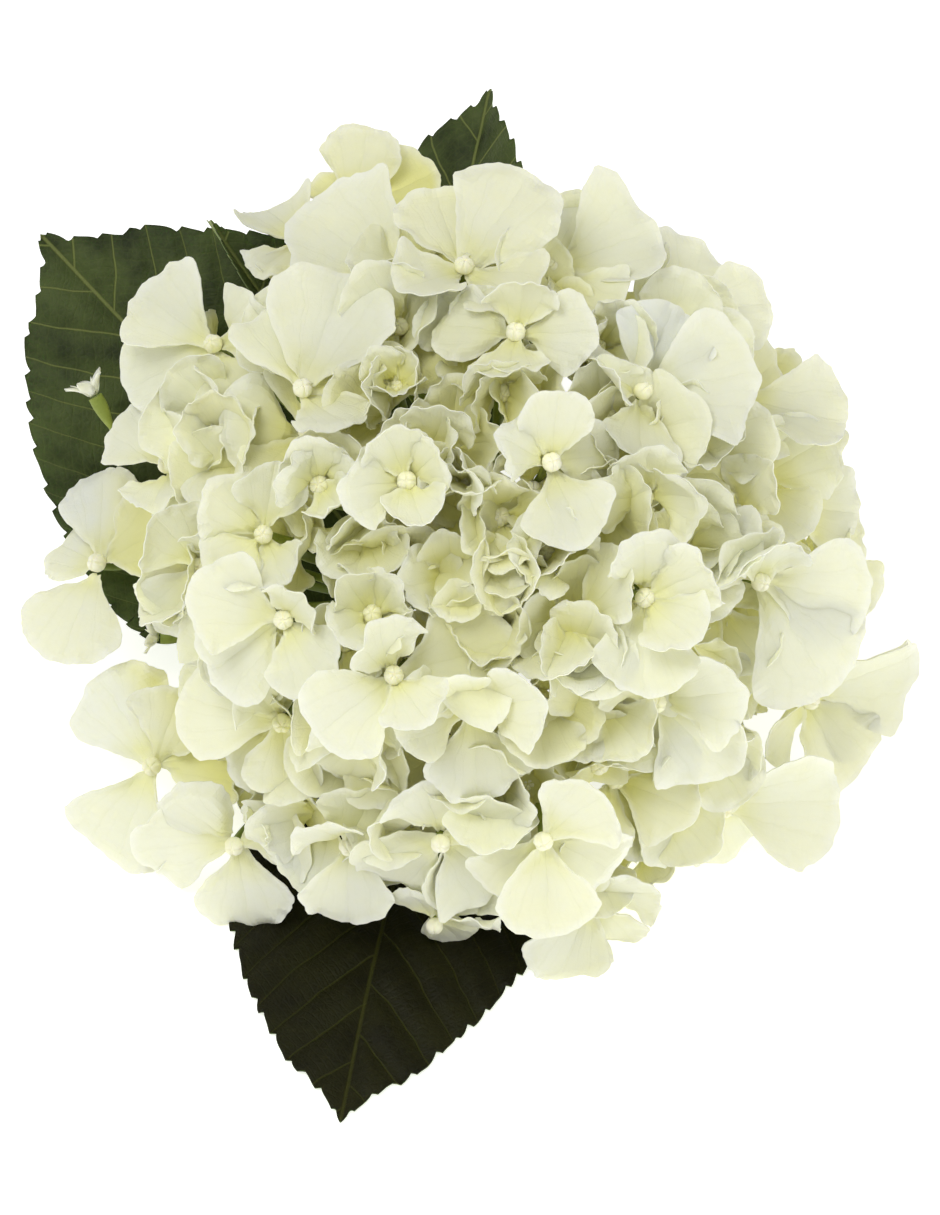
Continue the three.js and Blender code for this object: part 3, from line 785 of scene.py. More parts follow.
def curve_points(points, count):
    """Evenly spaced points on a smooth curve through some points, as in the frame, and its length."""
    through = [2 * points[0] - points[1], *points, 2 * points[-1] - points[-2]]
    fine = []
    for k in range(len(points) - 1):
        a, b, c, d = (np.array(p) for p in through[k : k + 4])
        gaps = [max(np.linalg.norm(q - p), 1e-6) ** 0.5 for p, q in ((a, b), (b, c), (c, d))]
        start = ((b - a) / gaps[0] - (c - a) / (gaps[0] + gaps[1]) + (c - b) / gaps[1]) * gaps[1]
        end = ((c - b) / gaps[1] - (d - b) / (gaps[1] + gaps[2]) + (d - c) / gaps[2]) * gaps[1]
        steps = np.linspace(0, 1, 41)[:, None]
        curve = (
            b
            + start * steps
            + (-3 * b + 3 * c - 2 * start - end) * steps**2
            + (2 * b - 2 * c + start + end) * steps**3
        )
        fine.append(curve if k == 0 else curve[1:])
    fine = np.concatenate(fine)
    lengths = np.concatenate([[0], np.cumsum(np.linalg.norm(np.diff(fine, axis=0), axis=1))])
    wanted = np.linspace(0, lengths[-1], count)
    even = np.stack([np.interp(wanted, lengths, fine[:, axis]) for axis in range(3)], axis=1)
    return even, float(lengths[-1])


# ---- Materials ----


def linear(red, green, blue):
    """A colour from its 8-bit screen values."""

    def one(value):
        value /= 255
        return value / 12.92 if value <= 0.04045 else ((value + 0.055) / 1.055) ** 2.4

    return tuple(one(value) for value in (red, green, blue))


def new_material(name, settings):
    """A material with its shader's uniform values set. Returns its graph and its shader."""
    material = bpy.data.materials.new(name)
    material.use_nodes = True
    graph = Graph(material.node_tree)
    shader = graph.add("ShaderNodeBsdfPrincipled", None, settings)
    graph.add("ShaderNodeOutputMaterial", None, {"Surface": shader})
    return material, graph, shader


def feed(graph, shader, **values):
    for name, value in values.items():
        graph.tree.links.new(value.socket, shader.node.inputs[name.replace("_", " ")])


def petal_material(colours):
    material, graph, shader = new_material(
        "grown petal",
        {
            "Subsurface Weight": 0.3,
            "Subsurface Radius": (1.0, 0.9, 0.35),
            "Subsurface Scale": 0.004,
            "Specular IOR Level": 0.28,
            "Sheen Weight": 0.12,
            "Sheen Roughness": 0.5,
        },
    )
    maths = graph.maths
    place = graph.add("ShaderNodeUVMap", {"uv_map": "UVMap"})
    u, v, _ = graph.parts(place)
    scale = 1000 / PETAL_UV
    x, y = (u - 0.5) * scale, v * scale
    tint, rim = graph.carried("tint"), graph.carried("rim")
    where = graph.vector(x, y, graph.carried("seed"))
    drift = graph.noise(where, 0.13, 2.0) - 0.5
    # Veins fan out from the claw and fork on the way.
    fan = maths("ARCTAN2", x, y + 5.0) + drift * 0.16
    main = (1 - abs(maths("SINE", fan * 11.0))) ** 9
    fork = (1 - abs(maths("SINE", fan * 23.0 + 0.7))) ** 7 * graph.smooth(y, 6.0, 15.0)
    net = graph.smooth(graph.cells(where, 0.55), 0.0, 0.09, 1.0, 0.0)
    veins = main * graph.smooth(rim, 1.0, 0.75) + fork * 0.5 + net * 0.22
    # Near the claw each petal takes the heart colour: partly the petal's own greenish base, partly painted
    # shade where petals overlap round the bud.
    heart = graph.smooth(y, 13.0, 1.0)
    body = graph.mix(graph.smooth(tint, -0.9, -0.1), colours.petal_cool, colours.petal)
    body = graph.mix(graph.smooth(tint, 0.3, 1.4) * 0.7, body, colours.petal_warm)
    body = graph.mix(heart * 0.75, body, colours.petal_heart_and_shade)
    # Painted shade, partly real: points deep in the head are mixed towards the deep colour, for inner
    # petals are greener and the head's hollows lie in shade.
    shade = graph.smooth(graph.carried("deep"), -14.0, 14.0)
    body = graph.mix(shade * 0.8, body, colours.petal_deep_and_shade)
    # The margins are whitened: partly their own paler edge, partly a painted highlight where the rims catch
    # the light.
    body = graph.mix(graph.smooth(rim, 0.75, 1.0) * 0.45, body, colours.petal_margin_and_highlight)
    body = graph.mix(graph.smooth(drift, -0.1, 0.3) * 0.22, body, colours.petal_warm)
    body = graph.mix(maths("MINIMUM", veins, 1.0) * 0.07, body, colours.petal_vein)
    fine = graph.noise(where, 2.6, 3.0, 0.6)
    bump = graph.bump(0.4, 0.0004, fine * 0.35 + drift * 1.5 - veins * 0.5)
    feed(
        graph,
        shader,
        Base_Color=body,
        Roughness=graph.smooth(fine, 0.2, 0.8, 0.52, 0.68),
        Normal=bump,
    )
    return material


def bud_material(name, colours, main):
    material, graph, shader = new_material(
        name,
        {
            "Subsurface Weight": 0.3,
            "Subsurface Radius": (1.0, 0.9, 0.5),
            "Subsurface Scale": 0.002,
            "Specular IOR Level": 0.35,
        },
    )
    spot = graph.add("ShaderNodeTexCoord", out="Object")
    mottle = graph.noise(spot, 900.0, 3.0)
    patch = graph.noise(spot, 60.0, 1.0)
    body = graph.mix(graph.smooth(patch, 0.4, 0.8) * 0.4, main, colours.petal_heart_and_shade)
    body = graph.mix(graph.smooth(mottle, 0.45, 0.75) * 0.3, body, colours.petal_margin_and_highlight)
    bump = graph.bump(0.25, 0.0002, mottle)
    feed(graph, shader, Base_Color=body, Roughness=graph.smooth(mottle, 0.2, 0.8, 0.45, 0.6), Normal=bump)
    return material


def stalk_material(name, pale, deep, bumpy):
    """A green or woody skin with length-wise streaks, patches and specks."""
    material, graph, shader = new_material(
        name,
        {
            "Subsurface Weight": 0.12,
            "Subsurface Radius": (0.8, 1.0, 0.3),
            "Subsurface Scale": 0.0012,
            "Specular IOR Level": 0.4,
        },
    )
    spot = graph.add("ShaderNodeTexCoord", out="Object")
    stretched = graph.add("ShaderNodeMapping", None, {"Vector": spot, "Scale": (900.0, 120.0, 900.0)})
    streak = graph.noise(stretched, 1.0, 3.0, 0.6)
    patch = graph.noise(spot, 45.0, 3.0, 0.6)
    speck = graph.smooth(graph.noise(spot, 1500.0, 1.0), 0.68, 0.76)
    body = graph.mix(graph.smooth(patch, 0.3, 0.7), pale, deep)
    body = graph.mix(graph.smooth(streak, 0.5, 0.8) * 0.45, body, deep)
    body = graph.mix(speck * 0.35, body, pale)
    bump = graph.bump(bumpy, 0.0004, streak + patch * 0.6)
    feed(graph, shader, Base_Color=body, Roughness=graph.smooth(streak, 0.2, 0.8, 0.45, 0.7), Normal=bump)
    return material, graph, shader, body


# Side veins leave the midrib every so many millimetres, at a slope that steepens outwards.
VEIN_SPACING = 17.0
VEIN_SLOPE = 1.05
VEIN_SWEEP = 0.012


def leaf_material(name, top, deep, vein, under, under_vein, vein_strength):
    """A leaf's skin. Its UV map is across and along the blade."""
    material, graph, shader = new_material(
        name,
        {
            "Subsurface Weight": 0.06,
            "Subsurface Radius": (0.3, 1.0, 0.15),
            "Subsurface Scale": 0.0015,
            "Specular IOR Level": 0.15,
        },
    )
    maths = graph.maths
    u, v, _ = graph.parts(graph.add("ShaderNodeUVMap", {"uv_map": "UVMap"}))
    scale = 1 / LEAF_UV
    x, y = (u - 0.5) * scale, v * scale
    where = graph.vector(x, y)
    shake = graph.noise(where, 0.05, 2.0) - 0.5
    away = abs(x)
    side = graph.smooth(x, -0.05, 0.05, 0.5, 0.0)
    phase = (y - away * VEIN_SLOPE - away * away * VEIN_SWEEP + shake * 6.0) / VEIN_SPACING + side
    off = abs(maths("FRACT", phase) - 0.5) * VEIN_SPACING
    lateral = graph.smooth(off, 0.65, 0.1) * graph.smooth(away, 45.0, 8.0, 0.3, 1.0)
    midrib = graph.smooth(away, 0.75, 0.25)
    minor_phase = (y + away * 0.9 + shake * 9.0) / 3.4
    minor = graph.smooth(abs(maths("FRACT", minor_phase) - 0.5), 0.12, 0.03) * 0.5
    cells = graph.cells(where, 0.62)
    net = graph.smooth(cells, 0.0, 0.14, 1.0, 0.0)
    main = maths("MAXIMUM", lateral, midrib)
    patch = graph.noise(where, 0.045, 4.0, 0.62)
    body = graph.mix(graph.smooth(patch, 0.32, 0.68), top, deep)
    blush = graph.smooth(off, 7.0, 0.5) * 0.25
    body = graph.mix(blush, body, top)
    body = graph.mix((net * 0.07 + minor * 0.12) * vein_strength, body, vein)
    body = graph.mix(main * vein_strength, body, vein)
    below = graph.carried("below")
    pale = graph.mix(main * 0.8 + minor * 0.3 + net * 0.25, under, under_vein)
    body = graph.mix(below, body, pale)
    fine = graph.noise(where, 1.6, 4.0, 0.65)
    height = cells * 0.9 - minor * 0.35 - main * 1.1 + fine * 0.3
    bump = graph.bump(0.5, 0.0006, height)
    rough = graph.smooth(fine, 0.25, 0.75, 0.44, 0.6) + below * 0.12
    feed(graph, shader, Base_Color=body, Roughness=rough, Normal=bump)
    return material


def bark_material(colours, cut_y):
    """Woody skin with a pale cut end."""
    material, graph, shader, body = stalk_material("grown bark", colours.bark, colours.bark_deep, 0.55)
    x, y, z = graph.parts(graph.add("ShaderNodeTexCoord", out="Object"))
    cut = graph.smooth(y, cut_y - 0.0004, cut_y - 0.0001)
    dx = x - ORIGIN.x
    dz = z - (ORIGIN.z + STEM_RADIUS * MM)
    radius = graph.maths("SQRT", dx * dx + dz * dz)
    rings = graph.maths("SINE", radius * 9000.0) * 0.5 + 0.5
    wood = graph.mix(rings * 0.4, colours.cut_wood, colours.bark)
    pith = graph.mix(graph.smooth(radius, 0.0012, 0.0008), wood, colours.petal_margin_and_highlight)
    feed(graph, shader, Base_Color=graph.mix(cut, body, pith))
    return material


def floor_material(colours):
    material, graph, shader = new_material(
        "studio floor", {"Roughness": 0.9, "Specular IOR Level": 0.1, "Emission Strength": 0.68}
    )
    spot = graph.add("ShaderNodeTexCoord", out="Object")
    mottle = graph.noise(spot, 3.0, 2.0)
    tone = graph.mix(graph.smooth(mottle, 0.3, 0.7) * 0.3, colours.floor, (0.93, 0.93, 0.93))
    feed(graph, shader, Base_Color=tone, Emission_Color=tone)
    return material


# ---- What a user would change ----


def colour_property(name, description, default):
    return FloatVectorProperty(
        name=name, description=description, default=default, size=3, min=0, max=1, subtype="COLOR"
    )


def length_property(name, description, millimetres):
    return FloatProperty(
        name=name,
        description=description,
        default=millimetres * MM,
        min=0,
        subtype="DISTANCE",
        unit="LENGTH",
    )


class HydrangeaSizes(bpy.types.PropertyGroup):
    """Sizes of the flower's fine parts"""

    petal_thickness: length_property("Petal thickness", "Thickness of a petal", 0.28)
    ruffle: length_property("Ruffle", "How far a petal's margin waves", 1.5)
    nicks: FloatProperty(
        name="Nicks",
        description="How uneven a petal's outline is",
        default=0.2,
        min=0,
        max=1,
        subtype="FACTOR",
    )
    bud_radius: length_property("Bud radius", "Radius of the closed bud in a floret", 2.6)
    pedicel_radius: length_property("Pedicel radius", "Radius of a floret's own stalk", 0.8)
    branch_radius: length_property("Branch radius", "Radius of the flower stalk's branches", 2.0)
    twig_radius: length_property("Twig radius", "Radius of the flower stalk's twigs", 1.1)
    leaf_thickness: length_property("Leaf thickness", "Thickness of a leaf's blade", 0.7)
    tooth_depth: length_property("Tooth depth", "How far the teeth of a leaf's margin stand out", 1.2)
    tooth_spacing: length_property("Tooth spacing", "From one tooth of a leaf's margin to the next", 7.0)
    vein_depth: length_property("Vein depth", "How deep a leaf's veins are sunk", 0.7)
    camera_distance: FloatProperty(
        name="Camera distance",
        description="From the camera to the flower",
        default=2.4,
        min=0.3,
        subtype="DISTANCE",
    )
    seed: IntProperty(name="Seed", description="Sets every random choice", default=4, min=0)


class HydrangeaColours(bpy.types.PropertyGroup):
    """Colours of the flower"""

    petal: colour_property("Petal", "Main colour of the petals", linear(243, 244, 213))
    petal_cool: colour_property("Cool petal", "Colour of the coolest petals", linear(240, 244, 236))
    petal_warm: colour_property("Warm petal", "Colour of the warmest petals", linear(243, 241, 186))
    # The heart colour is partly the petals' greenish base, partly painted shade near the bud.
    petal_heart_and_shade: colour_property("Petal heart", "Colour near the bud", linear(232, 231, 146))
    # The margin colour is partly the petals' paler edge, partly a painted highlight on the rims. It is also
    # the white of the stars, the bud specks and the pith.
    petal_margin_and_highlight: colour_property("Petal margin", "Colour of the margins", linear(254, 255, 240))
    # The deep colour is partly the greener inner petals, partly painted shade in the head's hollows.
    petal_deep_and_shade: colour_property("Deep petal", "Colour of petals deep in the head", linear(234, 230, 132))
    petal_vein: colour_property("Petal vein", "Colour of a petal's veins", linear(206, 208, 138))
    bud: colour_property("Bud", "Colour of the closed buds", linear(250, 248, 222))
    stalk: colour_property("Green stalk", "Colour of the green stalks", linear(150, 162, 72))
    stalk_deep: colour_property("Deep green stalk", "Darker green of the stalks", linear(106, 122, 42))
    leaf: colour_property("Leaf", "Colour of the left leaf", linear(74, 86, 44))
    leaf_deep: colour_property("Deep leaf", "Darker colour of the left leaf", linear(36, 45, 20))
    leaf_vein: colour_property("Leaf vein", "Colour of the left leaf's veins", linear(118, 126, 70))
    leaf_under: colour_property("Leaf underside", "Colour of the leaves' undersides", linear(122, 136, 92))
    under_vein: colour_property("Underside vein", "Veins of the leaves' undersides", linear(172, 182, 132))
    # The lower leaf's three colours are the leaf's colours darkened: painted shade, for it lies under the
    # head.
    dark_leaf: colour_property("Dark leaf", "Colour of the lower leaf", linear(29, 29, 5))
    painted_shade_leaf_deep: colour_property("Deep dark leaf", "Darkest colour of the lower leaf", linear(17, 16, 2))
    painted_shade_leaf_vein: colour_property("Dark leaf vein", "Veins of the lower leaf", linear(64, 66, 22))
    bark: colour_property("Bark", "Colour of the stem", linear(134, 120, 84))
    bark_deep: colour_property("Deep bark", "Darker colour of the stem", linear(98, 86, 56))
    cut_wood: colour_property("Cut wood", "Colour of the stem's cut end", linear(214, 206, 160))
    floor: colour_property("Floor", "Colour of the floor", (0.9, 0.9, 0.9))


def settings():
    scene = bpy.context.scene
    return scene.hydrangea_sizes, scene.hydrangea_colours


def shared_material(name, make):
    return bpy.data.materials.get(name) or make()


# ---- Pieces ----


LEAST_BEND = 0.03  # radians. A petal's curl divides, so it is never 0.
FULL_SPAN = 44  # florets of a smaller span in millimetres have a smaller bud


def petal_seeds(name, spot, draw):
    """The loose points a floret's petals grow from, with each petal's own shape."""
    floret_tint = draw.gauss(0.3, 0.25)
    petals = []
    for k, (turn, cup, reach) in enumerate(spot.petals):
        steep = min(1.0, abs(cup))
        bend = draw.uniform(-0.75, 0.2) * (1 - steep) + draw.uniform(-0.3, 0.5) * steep
        if abs(bend) < LEAST_BEND:
            bend = -LEAST_BEND
        petals.append(
            {
                "turn": turn,
                "cup": cup - 0.45 * bend,
                "curl": bend,
                "reach": reach * MM * draw.uniform(1.0, 1.06),
                "breadth": draw.uniform(0.5, 0.6) - 0.06 * steep,
                "bowl": draw.gauss(22, 24) + 30 * steep,
                "twist": draw.uniform(-0.4, 0.4),
                "point": draw.uniform(-0.02, 0.08),
                "roll": draw.gauss(0.3, 0.7) * MM,
                "level": (0.35 if k % 2 else -0.25) * MM,
                "seed": draw.uniform(0, 900),
                "tint": floret_tint + draw.gauss(0, 0.2),
            }
        )
    numbers = {label: [petal[label] for petal in petals] for label in petals[0]}
    return seeds_mesh(name, [(0, 0, 0)] * 4, numbers)


def plant_floret(name, spot, tree, draw):
    sizes, colours = settings()
    into = spot.matrix().inverted()
    reach = PEDICEL_LENGTH / 3
    rise = (spot.foot - spot.fork).normalized()
    return plant(
        name,
        petal_seeds(name, spot, draw),
        tree,
        {
            "Thickness": sizes.petal_thickness,
            "Ruffle": sizes.ruffle,
            "Nicks": sizes.nicks,
            "Bud Radius": sizes.bud_radius * min(1.0, spot.span / FULL_SPAN),
            "Lobes": float(draw.choice((4, 4, 5))),
            "Pedicel Radius": sizes.pedicel_radius,
            "Pedicel Handle": (0.0, 0.0, -reach * MM),
            "Foot Handle": into @ laid(spot.foot + rise * reach),
            "Foot": into @ laid(spot.foot),
            "Petal Material": shared_material("grown petal", lambda: petal_material(colours)),
            "Bud Material": shared_material(
                "grown bud", lambda: bud_material("grown bud", colours, colours.bud)
            ),
            "Pedicel Material": green_stalk(),
        },
    )


def green_stalk():
    _, colours = settings()
    return shared_material(
        "green stalk", lambda: stalk_material("green stalk", colours.stalk, colours.stalk_deep, 0.3)[0]
    )


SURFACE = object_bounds()[0].z


def settle(piece, spot):
    """Put a grown floret at its place, with what would sink into the surface pressed flat on it.

    Each point carries how deep in the head it is. The petal material turns deeper points towards the deep
    colour: partly because inner petals stay greener, partly as painted shade in the head's hollows.
    """
    piece.data.transform(spot.matrix())
    count = len(piece.data.vertices)
    points = np.empty(count * 3, np.float32)
    piece.data.vertices.foreach_get("co", points)
    points = points.reshape(-1, 3).astype(float)
    height = points[:, 2] - SURFACE
    points[:, 2] = SURFACE + (height + np.sqrt(height**2 + PRESS**2)) / 2
    piece.data.vertices.foreach_set("co", points.astype(np.float32).ravel())
    inside = ((points - np.array(ORIGIN)) / MM - np.array(in_head(0, 0, 0))) @ np.array(TILT)
    edge = np.minimum(np.hypot(inside[:, 0] / HALF_WIDTH, inside[:, 1] / HALF_HEIGHT), 1.3)
    depth = DEPTH * (1 - edge**DOME_POWER) - inside[:, 2]
    attribute = piece.data.attributes.new("deep", "FLOAT", "POINT")
    attribute.data.foreach_set("value", depth.astype(np.float32))


class HYDRANGEA_OT_florets(bpy.types.Operator):
    """Grow a floret round each of the frame's florets"""

    bl_idname = "hydrangea.florets"
    bl_label = "Florets"

    def execute(self, context):
        tree = floret_tree()
        draw = random.Random(settings()[0].seed)
        pieces, spots = [], []
        for k, row in enumerate(FLORETS):
            node = f"floret_{k + 1:02d}"
            spot = Spot(row)
            spot.read(node)
            if k < len(PETAL_TIPS):
                spot.open_to(PETAL_TIPS[k])
            else:
                spot.loosen(draw)
            pieces.append(plant_floret(f"petals_{k + 1:02d}", spot, tree, draw))
            spots.append(spot)
        harvest(pieces)
        for k, (piece, spot) in enumerate(zip(pieces, spots)):
            settle(piece, spot)
            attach(piece, "root")
            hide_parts(f"floret_{k + 1:02d}")
        return {"FINISHED"}


def deep_spots(draw):
    """Rows for the florets of the deeper layer, in the form of FLORETS."""
    rows = []
    for k in range(DEEP_FLORETS):
        out = DEEP_REACH * math.sqrt((k + 0.5) / DEEP_FLORETS)
        turn = GOLDEN_ANGLE * k
        across, up = out * math.cos(turn), out * math.sin(turn)
        lean = DEEP_LEAN * out**2
        rows.append(
            [
                across,
                up,
                DEEP_LIFT + draw.uniform(-3, 2),
                lean * math.cos(turn) + draw.gauss(0, 8),
                lean * math.sin(turn) + draw.gauss(0, 8),
                draw.uniform(0, 90),
                draw.uniform(38, 45),
                draw.uniform(22, 44) + 30 * (1 - out),
            ]
        )
    return rows


class HYDRANGEA_OT_inner_florets(bpy.types.Operator):
    """Grow the smaller florets between and under the others"""

    bl_idname = "hydrangea.inner_florets"
    bl_label = "Inner florets"

    def execute(self, context):
        tree = floret_tree()
        draw = random.Random(settings()[0].seed + 1)
        spots = [Spot(row) for row in INNER_FLORETS + deep_spots(draw)]
        for spot in spots:
            spot.loosen(draw)
        pieces = [
            plant_floret(f"inner_petals_{k + 1:02d}", spot, tree, draw) for k, spot in enumerate(spots)
        ]
        harvest(pieces)
        for piece, spot in zip(pieces, spots):
            settle(piece, spot)
            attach(piece, "root")
        return {"FINISHED"}


UNOPENED = {
    "unopened_upper": [(-60, 18, -14), (-80, 25, -17), (-93, 30, -15), (-101, 43, -13)],
    "unopened_lower": [(-52, -12, -16), (-66, -20, -18), (-84, -20, -18)],
}


class HYDRANGEA_OT_flower_stalk(bpy.types.Operator):
    """Grow the forked green stalk that carries the florets"""

    bl_idname = "hydrangea.flower_stalk"
    bl_label = "Flower stalk"

    def execute(self, context):
        sizes, _ = settings()
        branch, twig = sizes.branch_radius, sizes.twig_radius
        root = HUB + AXIS * 2
        hub = [(HUB, 1.5), (root, 1.4), (HUB + AXIS * 5, 1)]
        paths = [[(laid(point), share * branch) for point, share in hub]]
        for fork in FORKS:
            bow = root.lerp(fork, 0.5) + AXIS * 1.5
            path = [bezier(root, bow, bow, fork, k / 8) for k in range(9)]
            paths.append(
                [(laid(p), branch * (1.15 - 0.3 * k / 8 + 0.25 * (k == 8))) for k, p in enumerate(path)]
            )
        # The florets of the deeper layer have no twigs.
        feet = [Spot(row).foot for row in FLORETS + INNER_FLORETS]
        feet += [in_head(*points[0]) for points in UNOPENED.values()]
        for foot in feet:
            fork = nearest_fork(foot)
            path = [fork.lerp(foot, k / 8) for k in range(9)]
            paths.append(
                [(laid(p), twig * (1.25 - 0.35 * k / 8 + 0.15 * (k == 8))) for k, p in enumerate(path)]
            )
        piece = plant(
            "forked_stalk",
            paths_mesh("forked_stalk", paths),
            branch_tree(),
            {"Sides": 12, "Unevenness": 0.12, "Material": green_stalk()},
        )
        harvest([piece])
        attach(piece, "root")
        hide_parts("flower_stalk")
        return {"FINISHED"}


STEM_STEPS = 90
STEM_NODES = (14, 52, 108)  # where leaves grew, by the length from the hub
NODE_REACH = 3.5


class HYDRANGEA_OT_stem(bpy.types.Operator):
    """Grow the woody stem with its nodes and its pale cut end"""

    bl_idname = "hydrangea.stem"
    bl_label = "Stem"

    def execute(self, context):
        _, colours = settings()
        path = []
        for k in range(STEM_STEPS + 1):
            length = 0.3 + (STEM_LENGTH - 0.3) * k / STEM_STEPS
            swelling = sum(math.exp(-(((length - node) / NODE_REACH) ** 2)) for node in STEM_NODES)
            radius = STEM_RADIUS * (0.9 + 0.1 * swelling)
            path.append((laid(stem_point(length)), radius * MM))
        piece = plant(
            "woody_stem",
            paths_mesh("woody_stem", [path]),
            branch_tree(),
            {"Sides": 28, "Unevenness": 0.05, "Material": bark_material(colours, STEM_HIGH.y)},
        )
        harvest([piece])
        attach(piece, "root")
        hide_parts("stem")
        return {"FINISHED"}


def petiole_start(length, towards):
    centre = stem_point(length)
    ahead = (stem_point(length + 0.1) - centre).normalized()
    out = towards - centre
    out = (out - ahead * out.dot(ahead)).normalized()
    return centre + out * (STEM_RADIUS + 1.0)


FRONT_BASE = Vector((-12, -2, 7))
LEFT_BASE = in_head(-16, -10, -52)
YOUNG_BASE = in_head(-30, 34, -38)
BACK_BASE = in_head(-4, 34, -78)
LEAVES = {
    "leaf_front": {
        "midrib": [
            petiole_start(24, FRONT_BASE),
            Vector((-8, 14, 14)),
            FRONT_BASE,
            Vector((-20, -38, 0.9)),
            Vector((-29, -85, 0.5)),
            Vector((-36, -130, 0.5)),
        ],
        "face": Vector((0, 0, 1)),
        "half_width": 42,
        "blade": 0.24,
        "fold": 0.0,
        "droop": 0.0,
        "buckle": 0.0,
        # This leaf takes the leaf material in painted-shade colours, for it lies under the head.
        "shade_painted": True,
    },
    "leaf_left": {
        "midrib": [
            petiole_start(14, LEFT_BASE),
            LEFT_BASE,
            in_head(-45, 20, -50),
            in_head(-84, 53, -46),
            in_head(-117, 87, -48),
        ],
        "face": TILT @ Vector((0.1, -0.1, 1)),
        "half_width": 58,
        "blade": 0.1,
        "fold": 0.12,
        "droop": 0.1,
        "buckle": 2.4,
        "shade_painted": False,
    },
    "leaf_young": {
        "midrib": [petiole_start(5, YOUNG_BASE), YOUNG_BASE, in_head(-52, 62, -30), in_head(-72, 90, -26)],
        "face": TILT @ Vector((0.5, 0.4, 0.75)),
        "half_width": 9,
        "blade": 0.4,
        "fold": 0.7,
        "droop": 0.1,
        "buckle": 0.4,
        "shade_painted": False,
    },
    "leaf_back": {
        "midrib": [
            petiole_start(52, BACK_BASE),
            BACK_BASE,
            in_head(-4, 70, -70),
            in_head(-3, 100, -66),
            in_head(3, 127, -70),
        ],
        "face": TILT @ Vector((-0.62, 0.1, 0.78)),
        "half_width": 34,
        "blade": 0.14,
        "fold": 0.25,
        "droop": 0.1,
        "buckle": 1.6,
        "shade_painted": False,
    },
}


def sheet_faces(tall, wide, base=0):
    """Faces of a sheet of two layers and its rim. A layer has tall + 1 rows of so many points."""
    count = (tall + 1) * wide
    faces = []
    for r in range(tall):
        for c in range(wide - 1):
            a = base + r * wide + c
            faces.append((a, a + 1, a + 1 + wide, a + wide))
            faces.append((count + a, count + a + wide, count + a + 1 + wide, count + a + 1))
    border = (
        [r * wide for r in range(tall)]
        + [tall * wide + c for c in range(wide - 1)]
        + [r * wide + wide - 1 for r in range(tall, 0, -1)]
        + list(range(wide - 1, 0, -1))
    )
    for a, b in zip(border, border[1:] + border[:1]):
        faces.append((base + a, base + b, base + count + b, base + count + a))
    return faces


LEAF_ROWS = 200
LEAF_COLUMNS = 36  # on each side of the midrib
SMALL_LEAF = 15  # millimetres of half width. A smaller leaf is finer throughout.
PETIOLE_SIDES = 12
PETIOLE_STEP = 4  # rows of the blade for each ring of the petiole


